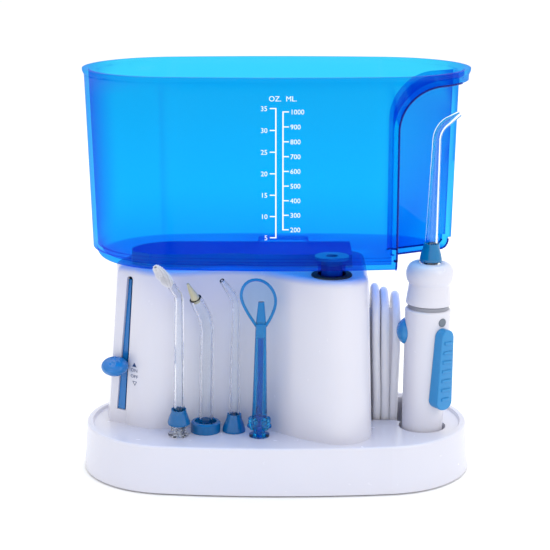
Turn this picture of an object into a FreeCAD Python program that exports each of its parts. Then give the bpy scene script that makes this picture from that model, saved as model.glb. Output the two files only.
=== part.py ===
"""Countertop water flosser: base, pump tower, lift-off reservoir, handle with a turning nozzle, wound hose
and four loose accessory tips. Millimetres, +Z up, front towards -Y, origin on the surface it stands on, at
the middle of the base."""
import math
import os

import FreeCAD
import Part

Vector = FreeCAD.Vector
Rotation = FreeCAD.Rotation
Placement = FreeCAD.Placement
X, Y, Z = Vector(1, 0, 0), Vector(0, 1, 0), Vector(0, 0, 1)
PARTS = "parts"

# ---------------------------------------------------------------- driving dimensions
WALL = 2.5                        # general wall of the moulded shells

BASE_HALF_X, BASE_HALF_Y = 112.0, 57.5      # outline of the base where it meets the table
BASE_END_R = 54.0
BASE_DRAFT = 1.7                  # how far the outline draws in up to the lip
SKIRT_Z = 0.8                     # lower edge of the skirt, just clear of the table
DECK_Z = 26.0                     # surface that the tips and the tower stand on
LIP_Z = 27.7                      # raised lip round the deck
LIP_WIDTH = 3.6
PLATE_Z, PLATE_T = 1.2, 2.4       # bottom plate

TOWER_TOP = 119.0
TOWER_SHRINK = 0.9355             # plan scale of the tower's top against its foot
TOWER_SHRINK_X = 14.2             # the plan shrinks towards this x, and y = 0
TOWER_EDGE_R = 4.0
TOWER_RIGHT_X = 54.3
TOWER_BACK_Y = 43.0
SADDLE_Z = 125.9                  # plinth on the tower that carries the reservoir

TANK_Z, RIM_Z = 126.0, 232.4
RIM_HALF_X, RIM_HALF_Y, RIM_END_R = 107.0, 54.0, 51.0
TANK_DRAFT = 3.2                  # how far the outline draws in from rim to floor
TANK_WALL = 2.6
TANK_EDGE_R = 5.0
ALCOVE_X, ALCOVE_TOP, ALCOVE_R = 65.6, 226.2, 23.0
VALVE_X, VALVE_Y = 31.0, -24.4    # reservoir outlet over the pump column
SPOUT_R = 7.7

SLOT_FOOT = Vector(-90.2, -5.25, DECK_Z)    # pressure slot, on the narrow facet of the tower
FACET_ANGLE = -27.0               # direction of the facet in plan, from +X
SLOT_WIDTH = 5.2                  # over the neck's run; the slot's left side also flares towards its foot
SLOT_FLARE, SLOT_TOP_R = 0.9, 1.9
SLOT_LOW, SLOT_HIGH = 34.0, 114.0
SLIDER_Z = 61.2
SLIDER_DOWN, SLIDER_UP = 16.0, 34.0

HANDLE_FOOT = Vector(84.25, -9.0, 21.0)     # middle of the handle's lower end, in its cradle
HANDLE_LEAN = 1.7                 # degrees, towards +X
HANDLE_R_LOW, HANDLE_R_TOP = 11.6, 13.1
HANDLE_LENGTH = 75.5
GRIP_ANGLE = -55.0                # direction that the pause slider faces, from +X in plan
BUTTON_ANGLE = 170.0              # direction that the release button faces
NOZZLE_TOP = 102.0                # top of the turning nozzle above the handle's foot

HOSE_R = 2.35
COIL_X0, COIL_X1 = 55.3, 72.2     # the wound hose beside the tower
COIL_Y0, COIL_Y1 = 1.8, 42.7
COIL_Z0, COIL_Z1 = 7.2, 103.6
COIL_BAND = 11.1                  # two turns deep
HOSE_EXIT = Vector(64.5, 22.3, 30.0)
TAIL = [
    Vector(68.6, 12.6, 9.9),
    Vector(70.2, -5.6, 9.9),
    Vector(76.8, -11.4, 9.9),
    Vector(83.0, -10.1, 12.4),
    Vector(84.25, -9.0, 18.4),
    Vector(84.48, -9.0, 26.4),
]

MOTOR_X, MOTOR_Y = -31.0, 17.0
OUTLET_ROUTE = [
    Vector(41, 21.5, 82),
    Vector(41, 21.5, 46),
    Vector(50, 22.0, 33.2),
    Vector(60.95, 22.3, 33.2),
]
GEAR_MODULE, PINION_TEETH, WHEEL_TEETH = 0.7, 14, 56
GEAR_Z, GEAR_T = 78.0, 6.0
CRANK_R = 4.0
PUMP_Z = 92.0
RACK_MODULE, DIAL_TEETH = 1.0, 24
DIAL_Z = 61.0


def facet_frame():
    """Frame of the slotted facet: Z up its slope, X along it, Y into the tower."""
    head = Vector((SLOT_FOOT.x - TOWER_SHRINK_X) * TOWER_SHRINK + TOWER_SHRINK_X, SLOT_FOOT.y * TOWER_SHRINK, TOWER_TOP)
    up = (head - SLOT_FOOT).normalize()
    along = (FACET_X - up * FACET_X.dot(up)).normalize()
    start = SLOT_FOOT - up * (SLOT_FOOT.z / up.z)
    return Placement(start, Rotation(along, up.cross(along), up, "ZXY"))


FACET_X = Vector(math.cos(math.radians(FACET_ANGLE)), math.sin(math.radians(FACET_ANGLE)), 0)
HANDLE_FRAME = Placement(HANDLE_FOOT, Rotation(Y, HANDLE_LEAN))
FACET_FRAME = facet_frame()
GRIP_FRAME = HANDLE_FRAME.multiply(Placement(Vector(0, 0, 0), Rotation(Z, GRIP_ANGLE)))
BUTTON_FRAME = HANDLE_FRAME.multiply(Placement(Vector(0, 0, 61.0), Rotation(Z, BUTTON_ANGLE)))


# ---------------------------------------------------------------- shared shapes
def placed(shape, frame):
    """The shape carried from its own frame into the object's."""
    moved = shape.copy()
    moved.Placement = frame.multiply(moved.Placement)
    return moved


def rod(start, end, radius, radius_end=None):
    """A round bar between two points, tapered if an end radius is given."""
    start, end = Vector(*start), Vector(*end)
    axis = end - start
    if radius_end is None:
        return Part.makeCylinder(radius, axis.Length, start, axis)
    return Part.makeCone(radius, radius_end, axis.Length, start, axis)


def block(low, high):
    """An upright box between two corners."""
    low, high = Vector(*low), Vector(*high)
    size = high - low
    return Part.makeBox(size.x, size.y, size.z, low)


def turned(points, centre=(0, 0, 0)):
    """A solid of revolution about Z: points are (radius, height) round its closed half section."""
    corners = [Vector(r, 0, z) for r, z in points]
    face = Part.Face(Part.makePolygon(corners + corners[:1]))
    solid = face.revolve(Vector(0, 0, 0), Z, 360)
    solid.translate(Vector(*centre))
    return solid


def tube_along(points, radius, turn_share=0.45):
    """A round tube along straight runs that are joined by tangent arcs."""
    edges, at = [], points[0]
    for before, corner, after in zip(points, points[1:], points[2:]):
        into, out = (corner - before).normalize(), (after - corner).normalize()
        back = turn_share * min((corner - before).Length, (after - corner).Length)
        first, last = corner - into * back, corner + out * back
        bisector = (out - into).normalize()
        half = into.getAngle(out) / 2
        bend = back / math.tan(half)
        middle = corner + bisector * (bend / math.cos(half) - bend)
        print(f"bend radius {bend:.1f} mm")
        edges.append(Part.LineSegment(at, first).toShape())
        edges.append(Part.Arc(first, middle, last).toShape())
        at = last
    edges.append(Part.LineSegment(at, points[-1]).toShape())
    path = Part.Wire(edges)
    ring = Part.Wire([Part.makeCircle(radius, points[0], points[1] - points[0])])
    tube = path.makePipeShell([ring], True, True)
    print(f"tube volume {tube.Volume:.1f}, section times length {math.pi * radius ** 2 * path.Length:.1f}")
    return tube


def oval(half_x, half_y, end_r, z):
    """A four-arc oval: round ends, and long sides that bow out slightly, all tangent."""
    reach = half_x - end_r
    side_r = (reach ** 2 + half_y ** 2 - end_r ** 2) / (2 * (half_y - end_r))
    side_y = side_r - half_y
    scale = end_r / math.hypot(reach, side_y)
    touch_x, touch_y = reach + reach * scale, side_y * scale
    arcs = [
        Part.Arc(Vector(touch_x, -touch_y, z), Vector(half_x, 0, z), Vector(touch_x, touch_y, z)),
        Part.Arc(Vector(touch_x, touch_y, z), Vector(0, half_y, z), Vector(-touch_x, touch_y, z)),
        Part.Arc(Vector(-touch_x, touch_y, z), Vector(-half_x, 0, z), Vector(-touch_x, -touch_y, z)),
        Part.Arc(Vector(-touch_x, -touch_y, z), Vector(0, -half_y, z), Vector(touch_x, -touch_y, z)),
    ]
    return Part.Wire([arc.toShape() for arc in arcs])


def oval_body(low, high):
    """A solid between two ovals, each given as (half_x, half_y, end_r, z)."""
    return Part.makeLoft([oval(*low), oval(*high)], True, True)


def base_oval(inset, z):
    """The base's oval at a height, drawn in by the draft and by an inset."""
    draw = inset + BASE_DRAFT * (z - SKIRT_Z) / (LIP_Z - SKIRT_Z)
    return (BASE_HALF_X - draw, BASE_HALF_Y - draw, BASE_END_R - draw, z)


def tank_oval(inset, z):
    """The reservoir's oval at a height, drawn in by the draft and by an inset."""
    draw = inset + TANK_DRAFT * (RIM_Z - z) / (RIM_Z - TANK_Z)
    return (RIM_HALF_X - draw, RIM_HALF_Y - draw, RIM_END_R - draw, z)


def rounded_plate(width, length, radius, low, high, centre=(0, 0)):
    """An upright block with rounded corners in plan."""
    x, y = centre
    half_x, half_y = width / 2 - radius, length / 2 - radius
    bar_x = block((x - width / 2, y - half_y, low), (x + width / 2, y + half_y, high))
    bar_y = block((x - half_x, y - length / 2, low), (x + half_x, y + length / 2, high))
    plate = bar_x.fuse(bar_y)
    for sign_x in (-1, 1):
        for sign_y in (-1, 1):
            corner = (x + sign_x * half_x, y + sign_y * half_y)
            plate = plate.fuse(rod((*corner, low), (*corner, high), radius))
    return plate.removeSplitter()


def gear(teeth, module, thickness, thinning, bore):
    """A spur gear about Z with involute flanks drawn through root, pitch line and tip."""
    pitch_r = module * teeth / 2
    base_r = pitch_r * math.cos(math.radians(20))
    root_r, tip_r = pitch_r - 1.3 * module, pitch_r + 0.9 * module
    half_tooth = (math.pi * module / 2 - thinning) / (2 * pitch_r)

    def involute(radius):
        angle = math.acos(min(1.0, base_r / radius))
        return math.tan(angle) - angle

    points = []
    for index in range(teeth):
        middle = 2 * math.pi * index / teeth
        for radius in (root_r, pitch_r, tip_r):
            angle = middle - half_tooth - involute(pitch_r) + involute(max(radius, base_r))
            points.append(Vector(radius * math.cos(angle), radius * math.sin(angle), 0))
        for radius in (tip_r, pitch_r, root_r):
            angle = middle + half_tooth + involute(pitch_r) - involute(max(radius, base_r))
            points.append(Vector(radius * math.cos(angle), radius * math.sin(angle), 0))
    face = Part.Face(Part.makePolygon(points + points[:1]))
    return face.extrude(Z * thickness).cut(rod((0, 0, -1), (0, 0, thickness + 1), bore))


def screws(places, head_z, length=10.0, head_r=2.8, shank_r=1.5):
    """Pan-head screws pointing up, one solid at each (x, y)."""
    made = []
    for x, y in places:
        shank = rod((x, y, head_z), (x, y, head_z + length), shank_r)
        head = rod((x, y, head_z - 1.6), (x, y, head_z), head_r)
        cross = block((x - 1.8, y - 0.35, head_z - 1.7), (x + 1.8, y + 0.35, head_z - 0.9))
        made.append(head.fuse(shank).cut(cross).removeSplitter())
    return made


# ---------------------------------------------------------------- base
def tip_pegs():
    """Frame and radius of each short peg that a loose tip stands on."""
    return [(BRUSH_FRAME, 1.35), (POCKET_FRAME, 1.9), (SPARE_FRAME, 1.2), (TONGUE_FRAME, 1.25)]


SCREW_PLACES = [(-92, 22), (-92, -22), (92, 34), (30, -50)]
TOWER_SCREWS = [(-62, 34), (-20, 35), (20, 35)]
CRADLE_R, CRADLE_WALL = 13.5, 1.8
PEG_HEIGHT = 3.2
WELL = (54.9, 77.4, 0.6, 44.4)    # opening in the deck that the wound hose drops into


def hose_slot():
    """The slot that lets the hose leave the handle's cradle sideways, into the well."""
    slot = block((0, -3.4, 6.0), (24, 3.4, 40))
    return placed(slot, Placement(Vector(HANDLE_FOOT.x, HANDLE_FOOT.y, 0), Rotation(Z, 137)))


def on_deck(shape):
    """Trim the foot of something that leans so that it stands flat on the deck."""
    return shape.cut(block((-130, -60, DECK_Z - 14), (60, 60, DECK_Z)))


def base_cover():
    outer = oval_body(base_oval(0, SKIRT_Z), base_oval(0, LIP_Z))
    outer = outer.makeFillet(1.4, [e for e in outer.Edges if e.BoundBox.ZMin > LIP_Z - 0.1])
    cover = outer.cut(oval_body(base_oval(WALL, SKIRT_Z - 1), base_oval(WALL, DECK_Z - WALL)))
    deck = oval_body(base_oval(LIP_WIDTH + 0.8, DECK_Z), base_oval(LIP_WIDTH - 0.6, LIP_Z + 0.6))
    cover = cover.cut(deck)
    x0, x1, y0, y1 = WELL
    cover = cover.cut(block((x0, y0, 20), (x1, y1, 30)))
    for x, y in SCREW_PLACES:
        cover = cover.fuse(rod((x, y, PLATE_Z + PLATE_T), (x, y, DECK_Z - 1), 3.8))
        cover = cover.cut(rod((x, y, 0), (x, y, 14), 1.5))
    for x, y in TOWER_SCREWS:
        cover = cover.cut(rod((x, y, 20), (x, y, 30), 1.7))
    cradle = placed(rod((0, 0, -2.0), (0, 0, 3.2), CRADLE_R + CRADLE_WALL), HANDLE_FRAME)
    cover = cover.fuse(cradle)
    cover = cover.cut(placed(rod((0, 0, -0.1), (0, 0, 12), CRADLE_R), HANDLE_FRAME))
    cover = cover.cut(placed(rod((0, 0, -4), (0, 0, 2), 6.5), HANDLE_FRAME))
    cover = cover.cut(hose_slot())
    for frame, peg_r in tip_pegs():
        cover = cover.fuse(placed(rod((0, 0, -1.0), (0, 0, PEG_HEIGHT), peg_r), frame))
    cover = cover.cut(placed(block((-2.4, 2, 20), (2.8, 11.6, 30)), FACET_FRAME))
    cover = cover.cut(rod((-60, 40, 14), (-60, 70, 14), 6.1))
    return cover.removeSplitter()


def hose_tray():
    """A tray under the deck that closes the hose well and the space below the cradle."""
    x0, x1, y0, y1 = WELL[0], 101.4, -26.6, WELL[3]
    low, high = 5.2, DECK_Z - WALL
    room = oval_body(base_oval(WALL + 0.6, low), base_oval(WALL + 0.6, high))
    inner_room = oval_body(base_oval(WALL + 2.2, low), base_oval(WALL + 2.2, high + 1))
    tray = room.common(block((x0 - 1.6, y0 - 1.6, low), (x1 + 1.6, y1 + 1.6, high)))
    inside = inner_room.common(block((x0, y0, low), (x1, y1, high + 1)))
    inside = inside.common(block((x0, y0, low + 1.6), (x1, y1, high + 1)))
    for x, y in SCREW_PLACES:
        tray = tray.cut(rod((x, y, 0), (x, y, 40), 4.4))
    return tray.cut(inside)


def bottom_plate():
    top = PLATE_Z + PLATE_T
    plate = oval_body(base_oval(WALL + 0.2, PLATE_Z), base_oval(WALL + 0.2, top))
    for x, y in SCREW_PLACES:
        plate = plate.cut(rod((x, y, 0), (x, y, 6), 1.7))
        plate = plate.cut(rod((x, y, 0), (x, y, PLATE_Z + 1.7), 3.0))
    for index in range(9):
        x = -36 + 9 * index
        plate = plate.cut(rounded_plate(3.2, 26, 1.5, 0, 6, (x, 6)))
    return plate


def feet():
    return [rod((sx * 74, sy * 36, 0), (sx * 74, sy * 36, PLATE_Z), 7.0) for sx in (-1, 1) for sy in (-1, 1)]


def cord_gland():
    """Rubber bush in the back of the base that the mains lead passes through."""
    outside = base_oval(0, 14)[1] - 3.4
    body = rod((-60, outside - 9, 14), (-60, outside + 1.0, 14), 6.0)
    flange = rod((-60, outside - 2.5, 14), (-60, outside + 2.0, 14), 7.4)
    flange = flange.cut(oval_body(base_oval(-0.02, SKIRT_Z), base_oval(-0.02, LIP_Z)))
    inner = rod((-60, outside - 9, 14), (-60, outside - 6.4, 14), 7.0)
    bore = rod((-60, 30, 14), (-60, 70, 14), 3.2)
    return body.fuse([flange, inner]).cut(bore).removeSplitter()


# ---------------------------------------------------------------- tower
def tower_foot(inset, z, scale):
    """The tower's plan: a hollow front between the slot end and the rounded pump column."""
    front = [
        Vector(-87.6, -6.6, 0), Vector(-80, -13.6, 0), Vector(-68, -17.2, 0), Vector(-50, -13.4, 0),
        Vector(-31, -9.0, 0), Vector(-13, -12.6, 0), Vector(6, -27.0, 0), Vector(24, -39.6, 0),
        Vector(37, -43.6, 0), Vector(48, -38.6, 0), Vector(TOWER_RIGHT_X, -26.0, 0),
    ]
    curve = Part.BSplineCurve()
    curve.interpolate(front)
    right, back = TOWER_RIGHT_X, TOWER_BACK_Y
    corner_r = 10.0
    diagonal = corner_r * (1 - math.sqrt(0.5))
    edges = [
        curve.toShape(),
        Part.makeLine(front[-1], Vector(right, back - corner_r, 0)),
        Part.Arc(
            Vector(right, back - corner_r, 0),
            Vector(right - diagonal, back - diagonal, 0),
            Vector(right - corner_r, back, 0),
        ).toShape(),
        Part.makeLine(Vector(right - corner_r, back, 0), Vector(-68, back, 0)),
        Part.Arc(Vector(-68, back, 0), Vector(-89.2, 33.4, 0), Vector(-100.0, 15, 0)).toShape(),
        Part.makeLine(Vector(-100.0, 15, 0), Vector(-97.6, -1.8, 0)),
        Part.makeLine(Vector(-97.6, -1.8, 0), front[0]),
    ]
    wire = Part.Wire(edges)
    if inset:
        wire = wire.makeOffset2D(-inset)
    move = FreeCAD.Matrix()
    move.scale(scale, scale, 1)
    move.move(Vector(TOWER_SHRINK_X * (1 - scale), 0, z))
    return wire.transformGeometry(move)


def tower_body(inset, low, high):
    """The tower's drafted body between two heights."""
    def shrink(z):
        return 1 - (1 - TOWER_SHRINK) * (z - DECK_Z) / (TOWER_TOP - DECK_Z)
    return Part.makeLoft([tower_foot(inset, low, shrink(low)), tower_foot(inset, high, shrink(high))], True, True)


def tower_shell():
    outer = tower_body(0, DECK_Z, TOWER_TOP)
    rim = [e for e in outer.Edges if e.BoundBox.ZMin > TOWER_TOP - 0.1]
    outer = outer.makeFillet(TOWER_EDGE_R, rim)
    shell = outer.cut(tower_body(WALL, DECK_Z - 1, TOWER_TOP - WALL))
    shell = shell.cut(placed(pressure_slot(), FACET_FRAME))
    shell = shell.cut(rod((VALVE_X, VALVE_Y, 100), (VALVE_X, VALVE_Y, 130), 9.4))
    core = hose_core_body()
    shell = shell.fuse(core.cut(tower_body(WALL, DECK_Z - 1, TOWER_TOP - WALL)))
    shell = shell.cut(rod((HOSE_EXIT.x, HOSE_EXIT.y, 29), (HOSE_EXIT.x, HOSE_EXIT.y, 36), 3.55))
    shell = shell.cut(tube_along(OUTLET_ROUTE, 2.5))
    return shell.removeSplitter()


def pressure_slot():
    """Cutter for the slot: its right side is straight and its left side flares towards the foot."""
    right, top = SLOT_WIDTH / 2, SLOT_HIGH - SLOT_TOP_R
    corners = [
        Vector(-right - SLOT_FLARE, -4, SLOT_LOW), Vector(right, -4, SLOT_LOW), Vector(right, -4, top),
        Vector(right - 2 * SLOT_TOP_R, -4, top),
    ]
    slot = Part.Face(Part.makePolygon(corners + corners[:1])).extrude(Y * 9)
    middle = right - SLOT_TOP_R
    return slot.fuse(rod((middle, -4, top), (middle, 5, top), SLOT_TOP_R))


def hose_core_body():
    """The boss on the tower's side that the hose is wound round."""
    y0, y1, z0, z1 = 14.2, 30.4, 30.0, 88.0
    radius = (y1 - y0) / 2
    core = block((50, y0, z0), (70.0, y1, z1 - radius))
    return core.fuse(rod((50, y0 + radius, z1 - radius), (70.0, y0 + radius, z1 - radius), radius))


def tower_saddle():
    """Plinth on the tower top that the reservoir stands on."""
    low = tower_body(9.0, TOWER_TOP - 1, TOWER_TOP + 8)
    band = block((-90, -3, TOWER_TOP), (60, 60, SADDLE_Z))
    plinth = low.common(band)
    return plinth.cut(rod((VALVE_X, VALVE_Y, 110), (VALVE_X, VALVE_Y, 130), 14))


def valve_seat():
    """Black rubber seal in the tower top that the reservoir's spout plugs into."""
    points = [
        (8.05, 112.5), (9.3, 112.5), (9.3, TOWER_TOP), (11.4, TOWER_TOP), (11.4, TOWER_TOP + 0.7),
        (10.9, TOWER_TOP + 1.1), (8.05, TOWER_TOP + 1.1),
    ]
    return turned(points, (VALVE_X, VALVE_Y, 0))


def inlet_cup():
    """Cup below the seal that collects the water and feeds the pump."""
    points = [
        (2.6, 98), (4.6, 98), (4.6, 104), (9.2, 108), (9.2, 112.4), (7.4, 112.4), (7.4, 109), (2.6, 105),
    ]
    return turned(points, (VALVE_X, VALVE_Y, 0))


def inlet_strainer():
    disc = rod((VALVE_X, VALVE_Y, 109.1), (VALVE_X, VALVE_Y, 110.1), 7.2)
    for ring_r, count in ((2.6, 6), (5.2, 12)):
        for index in range(count):
            angle = 2 * math.pi * index / count
            x, y = VALVE_X + ring_r * math.cos(angle), VALVE_Y + ring_r * math.sin(angle)
            disc = disc.cut(rod((x, y, 108), (x, y, 112), 0.7))
    return disc


# ---------------------------------------------------------------- pressure slider and regulator
def slider_track():
    """Blue strip fixed in the slot, beside the gap that the slider's neck runs in."""
    low, high = SLOT_LOW + 0.2, SLOT_HIGH - 2.4
    foot = [Vector(-3.35, 0.9, low), Vector(1.25, 0.9, low), Vector(1.25, 3.3, low), Vector(-3.35, 3.3, low)]
    top = [Vector(-1.0, 1.9, high), Vector(0.6, 1.9, high), Vector(0.6, 3.6, high), Vector(-1.0, 3.6, high)]
    strip = Part.makeLoft([Part.makePolygon(c + c[:1]) for c in (foot, top)], True, True)
    return placed(strip, FACET_FRAME)


def slider_paddle():
    """Thumb paddle with the thin neck that passes through the slot."""
    half = SLOT_WIDTH / 2
    paddle = rounded_plate(12.8, 12.0, 5.9, -4.7, 4.7, (-1.9, -9.0))
    top = [e for e in paddle.Edges if e.BoundBox.ZLength < 0.01]
    paddle = paddle.makeFillet(3.2, top)
    neck = block((half - 1.15, -6, -2.6), (half - 0.25, 5.6, 2.6))
    return placed(paddle.fuse(neck).removeSplitter(), FACET_FRAME.multiply(Placement(Z * SLIDER_Z, Rotation())))


RACK_LOW, RACK_HIGH = DIAL_Z - 3 - SLIDER_UP, DIAL_Z + 3 + SLIDER_DOWN
RACK_BACK, RACK_ROOT = 5.6, 8.0


def slider_rack():
    """Rack behind the slot: it moves with the paddle and turns the regulator's dial."""
    pitch = math.pi * RACK_MODULE
    bar = block((-1.6, RACK_BACK, RACK_LOW), (1.9, RACK_ROOT, RACK_HIGH))
    crest, foot = 0.45 * RACK_MODULE, 1.0 * RACK_MODULE
    count = int((RACK_HIGH - RACK_LOW) / 2 / pitch)
    for index in range(-count, count + 1):
        z = DIAL_Z + pitch * index
        if not RACK_LOW + foot < z < RACK_HIGH - foot:
            continue
        corners = [
            Vector(-1.6, RACK_ROOT - 0.2, z - foot), Vector(-1.6, RACK_ROOT - 0.2, z + foot),
            Vector(-1.6, RACK_ROOT + 2.1 * RACK_MODULE, z + crest - 0.25),
            Vector(-1.6, RACK_ROOT + 2.1 * RACK_MODULE, z - crest + 0.25),
        ]
        tooth = Part.Face(Part.makePolygon(corners + corners[:1])).extrude(X * 3.5)
        bar = bar.fuse(tooth)
    return placed(bar.removeSplitter(), FACET_FRAME)


DIAL_DEPTH = RACK_ROOT + 1.25 * RACK_MODULE + RACK_MODULE * DIAL_TEETH / 2
DIAL_FRAME = FACET_FRAME.multiply(
    Placement(Vector(-1.6, DIAL_DEPTH, DIAL_Z), Rotation(Y, 90))
)


def regulator_dial():
    """Gear that the rack turns. A tooth gap faces the rack's middle tooth."""
    wheel = gear(DIAL_TEETH, RACK_MODULE, 3.5, 0.3, 2.5)
    return placed(placed(wheel, Placement(Vector(), Rotation(Z, -90 + 180 / DIAL_TEETH))), DIAL_FRAME)


def regulator_spindle():
    shaft = rod((0, 0, -2.0), (0, 0, 24), 2.5)
    plug = rod((0, 0, 9), (0, 0, 24), 4.0)
    port = rod((-6, 0, 16), (6, 0, 16), 1.4)
    return placed(shaft.fuse(plug).cut(port), DIAL_FRAME)


def regulator_body():
    """Bypass valve that the spindle turns in, on its own pedestal."""
    body = rod((0, 0, 6), (0, 0, 26), 8.5)
    pedestal = block((0, -6, 8), (DIAL_Z - DECK_Z + 3, 6, 14))
    bore = rod((0, 0, 5), (0, 0, 24.5), 4.06)
    nozzles = rod((0, -13, 16), (0, 13, 16), 3.0).cut(rod((0, -14, 16), (0, 14, 16), 1.6))
    through = rod((0, -14, 16), (0, 14, 16), 1.6)
    return on_deck(placed(body.fuse([pedestal, nozzles]).cut(bore).cut(through).removeSplitter(), DIAL_FRAME))


def power_switch():
    """Mains switch that the rack trips at the bottom of its travel."""
    body = block((-9, 9.4, DECK_Z - 3), (-2.6, 18, 38))
    return on_deck(placed(body.fuse(block((-5, 8.2, 33), (-2.6, 9.4, 35))), FACET_FRAME))


# ---------------------------------------------------------------- motor, gears and pump
def wheel_x():
    return MOTOR_X + GEAR_MODULE * (PINION_TEETH + WHEEL_TEETH) / 2


FRAME_Z, FRAME_T = 73.0, 3.0


def pump_frame():
    """Plate on four posts that carries the motor, the drive wheel and the pump."""
    plate = block((-52, -2, FRAME_Z), (47, 36, FRAME_Z + FRAME_T))
    for x, y in ((-48.4, 1.6), (-48.4, 32.4), (43, 1.6), (43, 32.4)):
        plate = plate.fuse(rod((x, y, DECK_Z), (x, y, FRAME_Z + 1), 3.5))
    plate = plate.cut(rod((MOTOR_X, MOTOR_Y, 70), (MOTOR_X, MOTOR_Y, 80), 5.2))
    plate = plate.cut(rod((wheel_x(), MOTOR_Y, 70), (wheel_x(), MOTOR_Y, 80), 2.0))
    plate = plate.cut(rod((41, MOTOR_Y + 4.5, 70), (41, MOTOR_Y + 4.5, 80), 2.8))
    return plate.removeSplitter()


def motor_can():
    can = rod((MOTOR_X, MOTOR_Y, 30), (MOTOR_X, MOTOR_Y, FRAME_Z), 15.5)
    boss = rod((MOTOR_X, MOTOR_Y, FRAME_Z), (MOTOR_X, MOTOR_Y, FRAME_Z + 2), 5.0)
    return can.fuse(boss).cut(rod((MOTOR_X, MOTOR_Y, 60), (MOTOR_X, MOTOR_Y, 90), 1.56))


def motor_shaft():
    return rod((MOTOR_X, MOTOR_Y, 60.5), (MOTOR_X, MOTOR_Y, 86), 1.5)


def motor_pinion():
    pinion = gear(PINION_TEETH, GEAR_MODULE, GEAR_T, 0.2, 1.5)
    turn = Placement(Vector(MOTOR_X, MOTOR_Y, GEAR_Z), Rotation(Z, 180 / PINION_TEETH))
    return placed(pinion, turn)


def drive_wheel():
    """Large gear with the crank pin on its upper face."""
    wheel = gear(WHEEL_TEETH, GEAR_MODULE, GEAR_T, 0.2, 2.06)
    pin = rod((0, CRANK_R, GEAR_T), (0, CRANK_R, GEAR_T + 3.4), 1.6)
    return placed(wheel.fuse(pin), Placement(Vector(wheel_x(), MOTOR_Y, GEAR_Z), Rotation()))


def wheel_axle():
    return rod((wheel_x(), MOTOR_Y, FRAME_Z), (wheel_x(), MOTOR_Y, GEAR_Z + GEAR_T + 1.2), 2.0)


ROD_LOW = GEAR_Z + GEAR_T + 4.0


def connecting_rod():
    """Rod over the drive wheel. Its crosswise eye stands just above the crank pin."""
    eye = rounded_plate(7.6, 16.0, 3.6, ROD_LOW, ROD_LOW + 4, (wheel_x(), MOTOR_Y))
    eye = eye.cut(rounded_plate(3.9, 12.4, 1.9, ROD_LOW - 1, ROD_LOW + 5, (wheel_x(), MOTOR_Y)))
    bar = block((wheel_x() + 3.2, MOTOR_Y - 2, ROD_LOW), (18, MOTOR_Y + 2, ROD_LOW + 4))
    return eye.fuse(bar).removeSplitter()


def piston():
    z = ROD_LOW + 2
    crown = rod((18, MOTOR_Y, z), (26, MOTOR_Y, z), 4.9)
    groove = rod((21, MOTOR_Y, z), (23.4, MOTOR_Y, z), 5.5).cut(rod((20, MOTOR_Y, z), (24, MOTOR_Y, z), 4.0))
    return crown.cut(groove)


def piston_seal():
    z = ROD_LOW + 2
    return rod((21.1, MOTOR_Y, z), (23.3, MOTOR_Y, z), 4.95).cut(rod((20, MOTOR_Y, z), (24, MOTOR_Y, z), 4.05))


def pump_cylinder():
    z = ROD_LOW + 2
    barrel = rod((12.5, MOTOR_Y, z), (36, MOTOR_Y, z), 8.0)
    saddle = block((14, MOTOR_Y - 6, FRAME_Z + FRAME_T), (35, MOTOR_Y + 6, z))
    wheel_room = rod((wheel_x(), MOTOR_Y, 70), (wheel_x(), MOTOR_Y, ROD_LOW - 2.4), 21.5)
    bore = rod((10, MOTOR_Y, z), (33, MOTOR_Y, z), 5.0)
    port = rod((31, MOTOR_Y, z), (31, MOTOR_Y, z + 12), 1.8)
    return barrel.fuse(saddle).cut(wheel_room).cut(bore).cut(port).removeSplitter()


def valve_chest():
    """Block on the pump that holds the inlet and outlet valves."""
    z = ROD_LOW + 2
    chest = block((36, MOTOR_Y - 9, z - 8), (46, MOTOR_Y + 9, z + 8))
    chest = chest.cut(rod((41, MOTOR_Y - 4.5, z - 3), (41, MOTOR_Y - 4.5, z + 9), 3.0))
    return chest.cut(rod((41, MOTOR_Y + 4.5, z - 9), (41, MOTOR_Y + 4.5, z + 3), 3.0))


def valve_balls():
    z = ROD_LOW + 2
    return [
        Part.makeSphere(2.4, Vector(41, MOTOR_Y - 4.5, z - 0.4)),
        Part.makeSphere(2.4, Vector(41, MOTOR_Y + 4.5, z + 0.4)),
    ]


def inlet_tube():
    """Soft tube from the collecting cup to the pump's inlet."""
    z = ROD_LOW + 2
    route = [
        Vector(VALVE_X, VALVE_Y, 98), Vector(VALVE_X, VALVE_Y, 84), Vector(36, -12, 77.5),
        Vector(39, -2, 80), Vector(40, 6.5, 84.5), Vector(40.5, 7.4, z - 8.0),
    ]
    return tube_along(route[:5], 2.4).cut(tube_along(route[:5], 1.4))


def outlet_tube():
    """Tube from the pump's outlet down to the hose fitting on the tower's side."""
    return tube_along(OUTLET_ROUTE, 2.4).cut(tube_along(OUTLET_ROUTE, 1.4))


def hose_fitting():
    """Barbed elbow in the winding boss where the hose begins."""
    x, y = HOSE_EXIT.x, HOSE_EXIT.y
    return rod((x, y, HOSE_EXIT.z), (x, y, 35.8), 3.5).cut(rod((x, y, 29), (x, y, 34), 1.2))


# ---------------------------------------------------------------- reservoir
def tank_form(inset, top):
    """The reservoir's outer form, or its hollow when drawn in by the wall."""
    floor, step_z = TANK_Z + inset, TANK_Z + 6.2 + inset / 2
    foot = oval_body(tank_oval(inset + 2.4, floor), tank_oval(inset + 2.0, step_z))
    form = foot.fuse(oval_body(tank_oval(inset, step_z), tank_oval(inset, top)))
    low_edges = [e for e in form.Edges if e.BoundBox.ZMax < floor + 0.1]
    form = form.makeFillet(TANK_EDGE_R - inset / 2, low_edges)
    return form.cut(alcove(inset)).cut(finger_notch(inset))


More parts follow.
